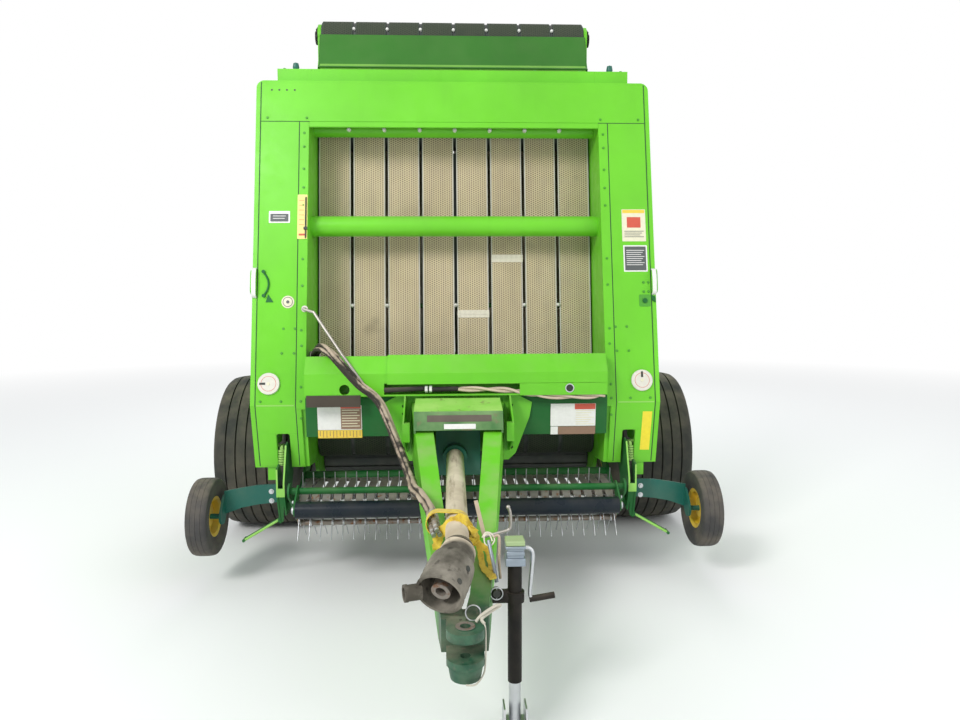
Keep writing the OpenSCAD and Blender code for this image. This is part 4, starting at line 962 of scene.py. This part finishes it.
def hub(name, paint, body, side, at, bolts, cap):
    """Bolts round a hub and its cap: each has its own distance out from the wheel's middle."""
    form = Form()
    count, ring_r, bolt_r, out = bolts
    for k in range(count):
        y, z = circle((at[1], at[2]), ring_r, 360 / count * (k + 0.5))
        form.bolt(outward(side, at[0] + out, y, z), bolt_r)
    profile, sides, out = cap
    form.lathe(profile, outward(side, at[0] + out, at[1], at[2]), sides)
    form.piece(name, paint, body, smooth_angle=30)


def wheels():
    """Ribbed tyres, with bolts and a cap on each main hub and on each small one."""
    big = tyre_profile(TYRE_R, TYRE_W, RIM_R, 8, 9, 14)
    small = tyre_profile(GAUGE_R, GAUGE_W, GAUGE_R * 0.55, 4, 2, 1.5)
    at, small_at = (WHEEL_X, 0, TYRE_R), GAUGE_AT
    cap = ([(0.01, 0), (46, 0), (46, 16), (38, 20), (0.01, 22)], 32, 132)
    small_cap = ([(0.01, 0), (22, 0), (22, 10), (16, 16), (0.01, 17)], 28, GAUGE_W * 0.27)
    for side, end in ((-1, "l"), (1, "r")):
        body, small_body = f"wheel_{end}", f"gauge_wheel_{end}"
        mirror = Matrix.Diagonal((side, 1, 1))
        tyre(f"main_tyre_{end}", f"tyre_{end}", body, mirror @ Vector(at), big, "tyre", 120)
        tyre(f"small_tyre_{end}", f"gauge_tyre_{end}", small_body, mirror @ small_at, small, "gauge_tyre", 96)
        hub(f"hub_bolts_{end}", "bright", body, side, at, (8, 88, 12, 65), cap)
        hub(f"small_hub_{end}", "rusty", small_body, side, small_at, (4, 31, 6, GAUGE_W * 0.12), small_cap)


# Pickup


def reel_turn(k):
    """Frame of one tine bar: Y away from the reel's axle, Z along the way the reel turns."""
    return Matrix.Translation((0, *REEL_AT)) @ Matrix.Rotation(2 * math.pi * k / BAR_COUNT, 4, "X")


def reel_bars():
    """Tine bars of the reel, with its discs and its axle."""
    half = PICKUP_X - 6
    form = Form()
    for k in range(BAR_COUNT):
        form.bar((-half, -BAR_R, 0), (half, -BAR_R, 0), 14, sides=20, place=reel_turn(k))
    for x in (4 - half, 0, half - 4):
        form.bar((x - 4, *REEL_AT), (x + 4, *REEL_AT), BAR_R + 16, sides=48)
    form.bar((-half - 13, *REEL_AT), (half + 13, *REEL_AT), 25)
    form.piece("reel_bars", "rusty", "pickup_reel", smooth_angle=35)


COIL_R, COIL_POINTS, COIL_RISE = 17, 17, 0.4


def reel_tines():
    """Spring tines with their coils and a bolt each; they trail behind the reel's radius."""
    wires, bolts = Form(), Form()
    tip = Vector((0, -math.cos(TINE_RAKE), -math.sin(TINE_RAKE))) * TINE_LEN
    line = [Vector((COIL_RISE * n - 9, *circle((0, 0), COIL_R, 45 * n))) for n in range(COIL_POINTS)]
    line += [line[-1] + (tip - line[-1]) * t for t in (0.12, 0.4, 0.75, 1.0)]
    for k in range(BAR_COUNT):
        for i in range(TINE_COUNT):
            x = (i - (TINE_COUNT - 1) / 2) * TINE_PITCH
            turn = reel_turn(k) @ Matrix.Translation((x, -BAR_R, 0))
            wires.tube([turn @ p for p in line], 2.9, 6)
            bolts.box((-7, -17, -6), (1, -12, 6), turn)
    made = wires.piece("reel_tines", "bright", "pickup_reel", smooth_angle=60)
    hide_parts("tine_reel")
    bolts.piece("tine_bolts", "rusty", "pickup_reel", smooth_angle=30)


def roller_ends():
    """Pins and end caps of the windguard roller, and a bolt on each of its arms."""
    pins, caps = Form(), Form()
    y, z = ROLLER_AT
    pin = [(0.01, 0), (20, 0), (20, 8), (13, 12), (0.01, 12)]
    for side in SIDES:
        pins.lathe(pin, outward(side, GUARD_ARM_X + 8, y, z), 24)
        pins.bolt(outward(side, GUARD_ARM_X + 18, y + 40, z + 30), 7)
        caps.ring(outward(side, GUARD_ARM_X - 3, y, z), 0.01, ROLLER_R - 4, -3, 0.5)
    pins.piece("roller_end_pins", "bright", "pickup", smooth_angle=30)
    caps.piece("roller_end_caps", "teal", "windguard")


def bracket_edges():
    """Lit front edges and cross plate of the lift brackets, and the upper of their two rods."""
    form = Form()
    for side in SIDES:
        for x, line in (
            (889, [(-1200.6, 486), (-1200.6, 558), (-1131, 738)]),
            (923, [(-1200.6, 486), (-1200.6, 628), (-1150.5, 644)]),
        ):
            form.ribbon([(side * x, y, z) for y, z in line], RIGHT, 8.4, 1.4)
        inner, outer = sorted((side * 884.5, side * 927.5))
        form.box((inner, -1200.4, 485), (outer, -1199, 529))
        form.bar((side * 931, -1142, 350), (side * 1109, -1160, 250), 6.5, sides=14)
    form.piece("bracket_edges", "lit_green", "pickup")


def pickup_bolts():
    """Bolts of the reel's bearings, of the lift brackets and of the gauge wheels' arms."""
    form = Form()
    y, z = REEL_AT
    for side in SIDES:
        for dy, dz in ((38, 0), (-38, 0), (0, 38), (0, -38)):
            form.bolt(outward(side, PICKUP_X + 10, y + dy, z + dz), 8)
        form.bolt(outward(side, 927, -1120, 560), 10)
        for height in (430, 480):
            form.bolt(facing((side * 985, -1066, height), (0, -1, 0)), 9)
    form.piece("pickup_bolts", "bright", "pickup", smooth_angle=30)


# Hoses, strap and shaft guard

HOSE_ROUTE = [
    (-750, -1000, 1190), (-738, -1060, 1212), (-700, -1150, 1243), (-640, -1235, 1231), (-560, -1262, 1145),
    (-487, -1280, 1068), (-389, -1300, 985), (-308, -1395, 830), (-222, -1650, 700), (-195, -1850, 696),
    (-160, -1980, 702), (-122, -2124, 692), (-106, -2205, 666),
]
HOSE_R, BUNDLE_R = 11, 13.05
HOSE_SPAN_STEPS = 8


def hose_line(angle):
    """Middle line of one hose of the bundle, at an angle round the bundle's own line."""
    line = smooth_line(HOSE_ROUTE, HOSE_SPAN_STEPS)
    moved = []
    for p, along in zip(line, directions(line)):
        side = along.cross(RIGHT).normalized()
        up = side.cross(along)
        moved.append(p + (side * math.cos(angle) + up * math.sin(angle)) * BUNDLE_R)
    return moved


def free_cord(name, paint, line, r, sides):
    """A round cord along a line; its length is summed but not used."""
    made = Form().tube(line, r, sides).piece(name, paint, smooth_angle=60)
    path = [TO_ROW @ Vector(p) for p in line]
    length = sum((b - a).length for a, b in zip(path, path[1:]))
    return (made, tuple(path[0]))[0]


def coupler(name, end, along):
    """Rings and tip of the coupler at a hose's end."""
    form = Form()
    for start, length, r, sides in ((8, 7, 11.4, 24), (22, 7, 11.4, 24), (50, 7, 11.2, 6), (70, 7.5, 9, 20)):
        form.bar(end + along * start, end + along * (start + length), r, sides=sides)
    return form.piece(name, "bright", smooth_angle=35)


def hoses():
    """Three hydraulic hoses from the wall to the strap, with crimped ferrules at both ends."""
    ferrules = Form()
    for k in range(3):
        line = hose_line(2 * math.pi * k / 3)
        tip = coupler(f"coupler_rings_{k + 1}", line[-1], (line[-1] - line[-2]).normalized())
        made = free_cord(
            f"hydraulic_hose_{k + 1}", "bleached", line, HOSE_R, 16
        )
        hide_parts("hoses")
        for a, b in ((line[0], line[2]), (line[-1], line[-3])):
            ferrules.bar(a, a + (b - a).normalized() * 42, HOSE_R + 0.35)
    ferrules.piece("hose_ferrules", "steel")


STRAP_ARCH = [
    (-95, -2232, 541), (-93, -2240, 575), (-90, -2246, 612), (-72, -2262, 648), (-34, -2292, 690),
    (3, -2306, 702), (22, -2290, 664), (30, -2266, 630), (38, -2250, 604),
]
STRAP_LOW = [
    (-95, -2236, 537), (-72, -2250, 566), (-40, -2286, 608), (4, -2306, 622), (43, -2288, 612),
    (72, -2284, 592), (94, -2282, 574), (99, -2330, 559), (101, -2400, 543), (101, -2458, 538),
]
STRAP_TAIL = [
    (38, -2276, 622), (56, -2286, 602), (63, -2298, 584), (67, -2335, 560), (71, -2375, 548),
    (86, -2412, 543), (98, -2448, 539),
]
STRAP_KNOT = [
    (14, -2304, 676), (38, -2294, 656), (50, -2282, 628), (34, -2286, 602), (10, -2300, 612), (0, -2310, 646),
    (20, -2308, 674), (46, -2300, 648),
]


def strap():
    """Webbing strap knotted round the hoses and the guard: two passes over the tube, a knot and two tails."""
    form = Form()
    second_arch = [Vector(p) + Vector((6, -3, -10)) for p in STRAP_ARCH[1:7]]
    for line, per_span, width, t, turn in (
        (STRAP_ARCH, 6, 40, 2.5, 0.6), (second_arch, 6, 24, 2.5, -0.7), (STRAP_LOW, 4, 27, 2.5, 0.25),
        (STRAP_TAIL, 4, 24, 2.5, -0.2), (STRAP_KNOT, 5, 32, 3, 0.9),
    ):
        form.band(smooth_line(line, per_span), width, t, turn)
    form.piece("strap_knot", "strap", smooth_angle=60)


def bell():
    """Ribs, shell and lock holes of the guard's bell, the holes dark with painted shade, its side stub, and
    the tube's bearing collar.
    """
    start, end = Vector(GUARD_END), Vector(BELL_END)
    run, length = (end - start).normalized(), (end - start).length
    place = facing(start, run)
    ribs, holes = Form(), Form()
    for h in (length * 0.04, length * 0.12):
        r = BELL_THROAT_R + (BELL_R - BELL_THROAT_R) * (h + 20) / (length + 20)
        ribs.lathe([(r - 2, h - 4), (r + 1.2, h - 2), (r + 1.2, h + 2), (r - 2, h + 4)], place)
    ribs.piece("bell_ribs", "guard", smooth_angle=50)
    outline = [(59, 0.20), (68, 0.21), (74, 0.26), (77, 0.34), (78, 0.44)]
    for share in (0.50, 0.64, 0.78):
        outline += [(78.5, share), (79.5, share + 0.012), (79.5, share + 0.035), (78.5, share + 0.047)]
    outline += [(79, 0.95), (81, 0.96), (81, 1.0), (BELL_R - 6, 1.0), (BELL_R - 9, 0.9), (60, 0.3)]
    shell = Form().lathe([(r, share * length) for r, share in outline], place, 72)
    shell.piece("bell_shell", "guard", smooth_angle=35)
    side = run.cross(Vector((0, 0, 1))).normalized()
    rise = side.cross(run)
    # painted shade: dark plugs for the lock holes
    for turn, share in ((155, 0.50), (147, 0.86)):
        out = side * math.cos(math.radians(turn)) + rise * math.sin(math.radians(turn))
        at = start + run * length * share + out * 76
        holes.bar(at, at + out * 4.2, 10, sides=20)
    holes.piece("bell_holes", "dark")
    stub = [(19, -10), (26, -10), (26, 32), (28, 35), (28, 46), (19, 46)]
    Form().lathe(stub, facing((-148, -2622, 568), (-1, -0.30, 0.0)), 40).piece("bell_stub", "guard")
    inner, outer = GUARD_R - 1, BELL_THROAT_R - 2
    collar = [(inner, 14), (outer, 14), (outer, 30), (GUARD_R + 4, 44), (inner, 46)]
    Form().lathe(collar, facing(start, Vector(GUARD_START) - start), 48).piece("guard_collar", "bell")


# Tongue, clevis and jack


def hood_labels():
    """Faded blank labels on the sloping front of the hood."""
    top, low = Vector((0, -1450, 958)), Vector((0, -1484, 872))
    up = (top - low).normalized()
    normal = Vector((0, -up.z, up.y))
    for name, paint, x, share, w, h in (
        ("hood_label", "rust_label", 4, 0.62, 306, 32), ("hood_label_small", "white", 6, 0.20, 150, 24),
    ):
        at = low + (top - low) * share + normal * 0.2 + RIGHT * x
        Form().rounded_plate(axes(at, RIGHT, up, normal), w, h, 2, 0.8).piece(name, paint)


PANEL_Y, PANEL_LEAN = FOLD_Y - 8.7, math.atan2(15, 166)


def on_panel(x, z, out):
    """Frame on the panels beside the tongue: X to the right, Y up along them and Z out of them."""
    return sheet_frame((x, PANEL_Y + (FOLD_Z - z) * math.tan(PANEL_LEAN), z), -PANEL_LEAN, out)


def panel_labels():
    """Blank decals on the panels beside the tongue."""
    for name, paint, x, z, w, h, out in (
        ("left", "white", -607, 882, 226, 128, 0.6),
        ("left_dark", "brown_label", -549, 876, 104, 108, 1.6),
        ("left_top", "red", -549, 938, 104, 14, 1.6),
        ("left_strip", "amber", -607, 796, 226, 42, 1.6),
        ("right", "white", 602, 884, 236, 120, 0.6),
        ("right_top", "red", 664, 928, 108, 30, 1.6),
        ("right_strip", "brown_label", 622, 801, 196, 42, 1.6),
        ("right_mark", "white", 504, 801, 38, 42, 1.6),
    ):
        Form().rounded_plate(on_panel(x, z, out), w, h, 2, 0.9).piece(f"panel_label_{name}", paint)
    lines, ticks = Form(), Form()
    for k in range(7):
        lines.box((-46, -2, 0), (44 - 12 * (k % 2), 2, 0.4), on_panel(-549, 922 - k * 14, 2.6))
        lines.box((-48, -2, 0), (48 - 14 * (k % 3), 2, 0.4), on_panel(664, 906 - k * 12, 2.0))
    lines.piece("panel_label_lines", "cream")
    for k in range(13):
        ticks.box((-1.5, -18 if k % 3 else -10, 0), (1.5, 18, 0.4), on_panel(k * 17 - 709, 796, 2.6))
    ticks.piece("panel_label_ticks", "brown_label")


HITCH_LOOP = [
    (34, -2668, 486), (46, -2664, 500), (70, -2650, 512), (100, -2630, 520), (114, -2618, 516),
    (102, -2620, 508), (72, -2644, 500), (52, -2668, 494), (60, -2680, 484),
]
HITCH_CORD = [
    (58, -2676, 488), (63, -2690, 470), (63.5, -2694, 420), (62, -2696, 370), (56, -2700, 332),
    (30, -2742, 322), (0, -2752, 326),
]


def hitch_fittings():
    """Worn rim and holes on the clevis's top, the holes dark with painted shade, the ring of its pin, and the
    cord tied round it.
    """
    top = CLEVIS_TOP_Z
    worn = Form().ring(Matrix.Translation((0, HITCH_Y, top + 3)), 17, 31, 0, 0.8)
    worn.piece("clevis_wear", "rusty")
    holes = Form()
    # painted shade: dark discs for the holes
    for x in (-14, 6):
        holes.bar((x, -2640, top + 0.1), (x, -2640, top + 0.8), 5, sides=14)
    holes.piece("clevis_holes", "dark")
    Form().loop(rolled((26, -2640, top + 22), 80), 24, 2.4).piece("pin_ring", "bright")
    Form().tube(smooth_line(HITCH_LOOP), 5).piece("hitch_knot", "rope", smooth_angle=60)
    free_cord("hitch_cord", "rope", smooth_line(HITCH_CORD), 2.6, 10)


BENT_HANDLE = [
    (173, -2215, 716), (180, -2214, 696), (182, -2214, 660), (180, -2214, 638), (172, -2215, 628),
    (150, -2217, 622), (84, -2220, 606),
]
HOOKED_ROD = [(112, -2330, 640), (122, -2334, 648), (131, -2340, 640), (129, -2350, 560), (133, -2360, 500)]
SPRING_CLIP = [
    (70, -2330, 640), (84, -2322, 656), (104, -2326, 652), (114, -2336, 632), (98, -2344, 614),
    (80, -2340, 622), (78, -2330, 646), (96, -2324, 650), (106, -2336, 628),
]


def tongue_rods():
    """Bent handle, flat rod, hooked rod, spring clip, link and ringed pin beside the jack's pivot."""
    handle = Form().tube(smooth_line(BENT_HANDLE), 6, 12).ball(BENT_HANDLE[0], 8)
    handle.piece("handle_rod", "steel", smooth_angle=60)
    upright = Form().ribbon([(53, -2190, 736), (66, -2196, 680), (84, -2214, 606)], (1, 0, 0.2), 15, 7)
    upright.tube(smooth_line(HOOKED_ROD), 5).piece("upright_rods", "copper", smooth_angle=60)
    Form().tube(smooth_line(SPRING_CLIP), 2.8, 8).piece("spring_clip", "lace", smooth_angle=60)
    link = Form().tube([(92, -2340, 632), (108, -2400, 560), (116, -2424, 512)], 6.5, 12)
    link.piece("jack_link", "blue_zinc", smooth_angle=60)
    ring = Form().loop(rolled((112, -2472, 492), 90), 21, 2.2).bar((112, -2470, 470), (112, -2470, 514), 2.2)
    ring.piece("jack_pin_ring", "bright", smooth_angle=60)
    Form().bar((112, -2478, 492), (112, -2440, 492), 13).piece("jack_pin", "dark")


JACK_LOW_Z, JACK_HEAD_Z = 165, 585
CRANK = ((30, 0, 640), (62, 0, 632), (52, -4, 458), (138, -4, 472))


def jack():
    """Jack with its black tube, stepped zinc head, crank and grip."""
    at = Vector((*JACK_AT, 0))
    place = Matrix.Translation(at)
    tube = Form().ring(place, 21, 24.5, JACK_LOW_Z, JACK_HEAD_Z, 48)
    tube.bar((99.2, JACK_AT[1], 470), at + Vector((-20.5, 0, 470)), 24).ring(place, 24, 33, 452, 488)
    made = tube.piece("jack_body", "black", smooth_angle=35)
    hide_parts("jack_tube")
    head = Form()
    for half, low, high in ((34, 585, 612), (29, 611, 622), (31, 621, 636), (29, 635, 646), (35, 645, 655)):
        head.box(at + Vector((-half, -half, low)), at + Vector((half, half, high)))
    head.piece("jack_head", "blue_zinc", round_edges=2.5)
    cap = Form().box(at + Vector((-33, -33, 655)), at + Vector((33, 33, 673)))
    cap.piece("jack_cap", "cap_green", round_edges=4)
    start, elbow, low, end = (at + Vector(p) for p in CRANK)
    line = [start - Vector((8, 0, 0)), start + Vector((14, 0, 0)), elbow - Vector((4, 0, 2))]
    line += [elbow - Vector((0, 0, 22)), (elbow + low) / 2, low + Vector((0, 0, 22)), low + Vector((6, 0, 4))]
    Form().tube(smooth_line(line, 5), 7, 14).piece("jack_crank", "bright", smooth_angle=60)
    Form().bar(low - Vector((2, 0, 0)), end, 11).piece("jack_grip", "black", round_edges=2)


# Hoses and pipes in the cross member, and the roof's rail

CROSSING_Y = -1206
PAIR_LINE = [(2, 1033), (120, 1031), (240, 1026), (330, 1014), (420, 996), (560, 988), (690, 990), (752, 998)]


def crossing_hoses():
    """Black pipes, pale couplers and a twisted pair of hoses that cross the opening under the beam."""
    pipes, couplers = Form(), Form()
    for a, b, r in (
        ((-371, 1030), (-172, 1037), 13), ((-128, 1032), (4, 1034), 13), ((-172, 1037), (-128, 1032), 9),
    ):
        pipes.bar((a[0], CROSSING_Y, a[1]), (b[0], CROSSING_Y, b[1]), r, sides=20)
    pipes.piece("crossing_pipes", "hose")
    for x in (-166, -144):
        couplers.bar((x, CROSSING_Y, 1034), (x + 14, CROSSING_Y, 1034), 17, sides=6)
    couplers.piece("crossing_couplers", "white", smooth_angle=30)
    middle = smooth_line([(x, CROSSING_Y, z) for x, z in PAIR_LINE], 8)
    for k in (0, 1):
        line = []
        for i, p in enumerate(middle):
            a = math.pi * k + 0.30 * i
            line.append(p + Vector((0, 8 * math.cos(a), 8 * math.sin(a))))
        free_cord(f"crossing_hose_{k + 1}", "sand_hose", line, 7.5, 14)


# Turns a Y-Z outline so that a plate's thickness runs along X
ACROSS_X = Matrix(((0, 0, 1), (1, 0, 0), (0, 1, 0))).to_4x4()
LIP_OUTLINE = [
    (-513, 2843), (-530, 2832), (-538, 2817), (-534, 2804), (-531, 2805), (-535, 2817), (-528, 2829),
    (-511, 2840),
]


def roof_fittings():
    """Knobs and bolts on the roof's rail, and a painted highlight along the edge of the shield's lip."""
    knobs, bolts = Form(), Form()
    profile = [(0.01, 0), (15, 0), (18, 12), (14, 34), (0.01, 40)]
    for side in SIDES:
        knobs.lathe(profile, Matrix.Translation((side * 868, RAIL_Y, RAIL_TOP_Z)), 24)
        for x in (150, 450, 700, 930):
            bolts.bolt(Matrix.Translation((side * x, RAIL_Y, RAIL_TOP_Z)), 8)
    knobs.piece("rail_knobs", "teal")
    bolts.piece("rail_bolts", "frame", smooth_angle=30)
    # painted highlight: a lighter strip along the lit lip of the shield
    lip = Form().plate(LIP_OUTLINE, 1538, Matrix.Translation((-769, 0, 0)) @ ACROSS_X)
    lip.piece("shield_lip_highlight", "lip_highlight")


def roll_bearings():
    """Bearing flanges with their bolts where the rolls run in the walls."""
    flange = [(0.01, 0), (62, 0), (62, 7), (40, 10), (38, 22), (22, 24), (0.01, 24)]
    for name, body, rolls, x in (("frame", "root", FRONT_ROLLS, WALL_X), ("gate", "gate", GATE_ROLLS, 825)):
        form = Form()
        for place in [outward(side, x, y, z) for side in SIDES for y, z in rolls]:
            form.lathe(flange, place, 40)
            for k in range(4):
                form.bolt(place @ Matrix.Translation((*circle((0, 0), 50, 90 * k + 45), 7)), 8)
        form.piece(f"{name}_bearings", "black", body, smooth_angle=30)


# Middle and half axes of the gate's rounded rim
GATE_MIDDLE, GATE_REACH, GATE_RISE = (480, 1690), 872, 1052


def gate_fittings():
    """Bolts round the gate's rims."""
    form = Form()
    for side in SIDES:
        for k in range(13):
            a = math.radians(14 * k - 84)
            y, z = GATE_MIDDLE[0] + GATE_REACH * math.cos(a), GATE_MIDDLE[1] + GATE_RISE * math.sin(a)
            form.bolt(outward(side, 859, y, z), 8)
    form.piece("gate_bolts", "frame", "gate", smooth_angle=30)


# Floor, light and camera

CAMERA_AT = (-45, -4843, 1499)
CAMERA_YAW, CAMERA_TILT, CAMERA_ROLL = math.radians(2.51), math.radians(5.01), math.radians(-0.26)
FOCAL_PX, IMAGE_W, SENSOR_W = 721.0, 960, 36.0


def camera():
    """Camera of the photo: its place, its three small turns and its focal length."""
    data = bpy.data.cameras.new("photo_camera")
    made = bpy.data.objects.new("photo_camera", data)
    bpy.context.scene.collection.objects.link(made)
    data.sensor_width = SENSOR_W
    data.lens = FOCAL_PX * SENSOR_W / IMAGE_W
    data.clip_end = 200
    right = Vector((math.cos(CAMERA_YAW), -math.sin(CAMERA_YAW), 0))
    level = Vector((math.sin(CAMERA_YAW), math.cos(CAMERA_YAW), 0))
    ahead = level * math.cos(CAMERA_TILT) - Vector((0, 0, math.sin(CAMERA_TILT)))
    down = -level * math.sin(CAMERA_TILT) - Vector((0, 0, math.cos(CAMERA_TILT)))
    x_axis = right * math.cos(CAMERA_ROLL) - down * math.sin(CAMERA_ROLL)
    y_axis = -(right * math.sin(CAMERA_ROLL) + down * math.cos(CAMERA_ROLL))
    made.matrix_world = axes(TO_ROW @ Vector(CAMERA_AT), x_axis, y_axis, -ahead)
    bpy.context.scene.camera = made


def area_light(name, at, aim, size, power):
    """Square lamp that looks at a place, in metres and watts."""
    data = bpy.data.lights.new(name, "AREA")
    data.size = size
    data.energy = power
    made = bpy.data.objects.new(name, data)
    made.location = at
    made.rotation_euler = (Vector(aim) - Vector(at)).to_track_quat("-Z", "Y").to_euler()
    bpy.context.scene.collection.objects.link(made)


# The floor fades into the white backdrop between these distances, in metres
FLOOR_NEAR, FLOOR_FAR = 4.5, 14.0


def pale_floor():
    """Floor's material: pale and matt near the machine, and plain white to the camera far from it."""
    pale = Shader("pale_floor")
    away = pale.node("VectorMath", {0: pale.place}, operation="LENGTH").outputs["Value"]
    fade = pale.between(away, FLOOR_NEAR, FLOOR_FAR)
    seen = pale.maths("MULTIPLY", fade, pale.node("LightPath").outputs["Is Camera Ray"])
    pale.show("Material Output", seen, pale.bsdf, pale.node("Emission"))
    return pale.set(Base_Color=(0.90, 0.90, 0.88), Roughness=0.9)


def backdrop():
    """World: cool light on the machine, and plain white wherever the camera sees it."""
    world = bpy.data.worlds.new("studio")
    bpy.context.scene.world = world
    world.use_nodes = True
    sky = Nodes(world.node_tree)
    lit, shown = sky.tree.nodes["Background"], sky.node("Background")
    for node, colour, strength in ((lit, (0.92, 0.96, 1.0), 0.72), (shown, (1, 1, 1), 1.0)):
        sky.put(node.inputs["Color"], colour)
        sky.put(node.inputs["Strength"], strength)
    rays = sky.node("LightPath").outputs
    seen = sky.maths("MAXIMUM", rays["Is Camera Ray"], rays["Is Glossy Ray"])
    seen = sky.maths("MAXIMUM", seen, rays["Is Transmission Ray"])
    sky.show("World Output", seen, lit, shown)


def surroundings():
    """White floor and backdrop, with three soft lamps at a plain level."""
    bpy.ops.mesh.primitive_plane_add(size=120, location=(0, 0, 0))
    floor = bpy.context.object
    floor.name = "floor"
    floor.data.materials.append(pale_floor())
    backdrop()
    area_light("key", (-4.5, -6.5, 6.0), (0, 0, 1.2), 2.4, 460)
    area_light("fill", (6.0, -5.0, 4.0), (0, 0, 1.2), 5.0, 130)
    area_light("back", (1.0, 7.0, 6.0), (0, 0, 1.2), 5.0, 240)


bpy.context.scene.view_settings.view_transform = "Standard"
for make in (
    camera, surroundings, paint_nodes,
    face_sheets, face_bolts, face_handles, face_plates, dials, size_scale,
    guide_rod, belt_lacing, belt_guides, beam_skirt,
    wheels, reel_bars, reel_tines, roller_ends, bracket_edges, pickup_bolts,
    hoses, strap, bell, hood_labels, panel_labels, hitch_fittings, tongue_rods, jack,
    crossing_hoses, roof_fittings, roll_bearings, gate_fittings,
):
    make()
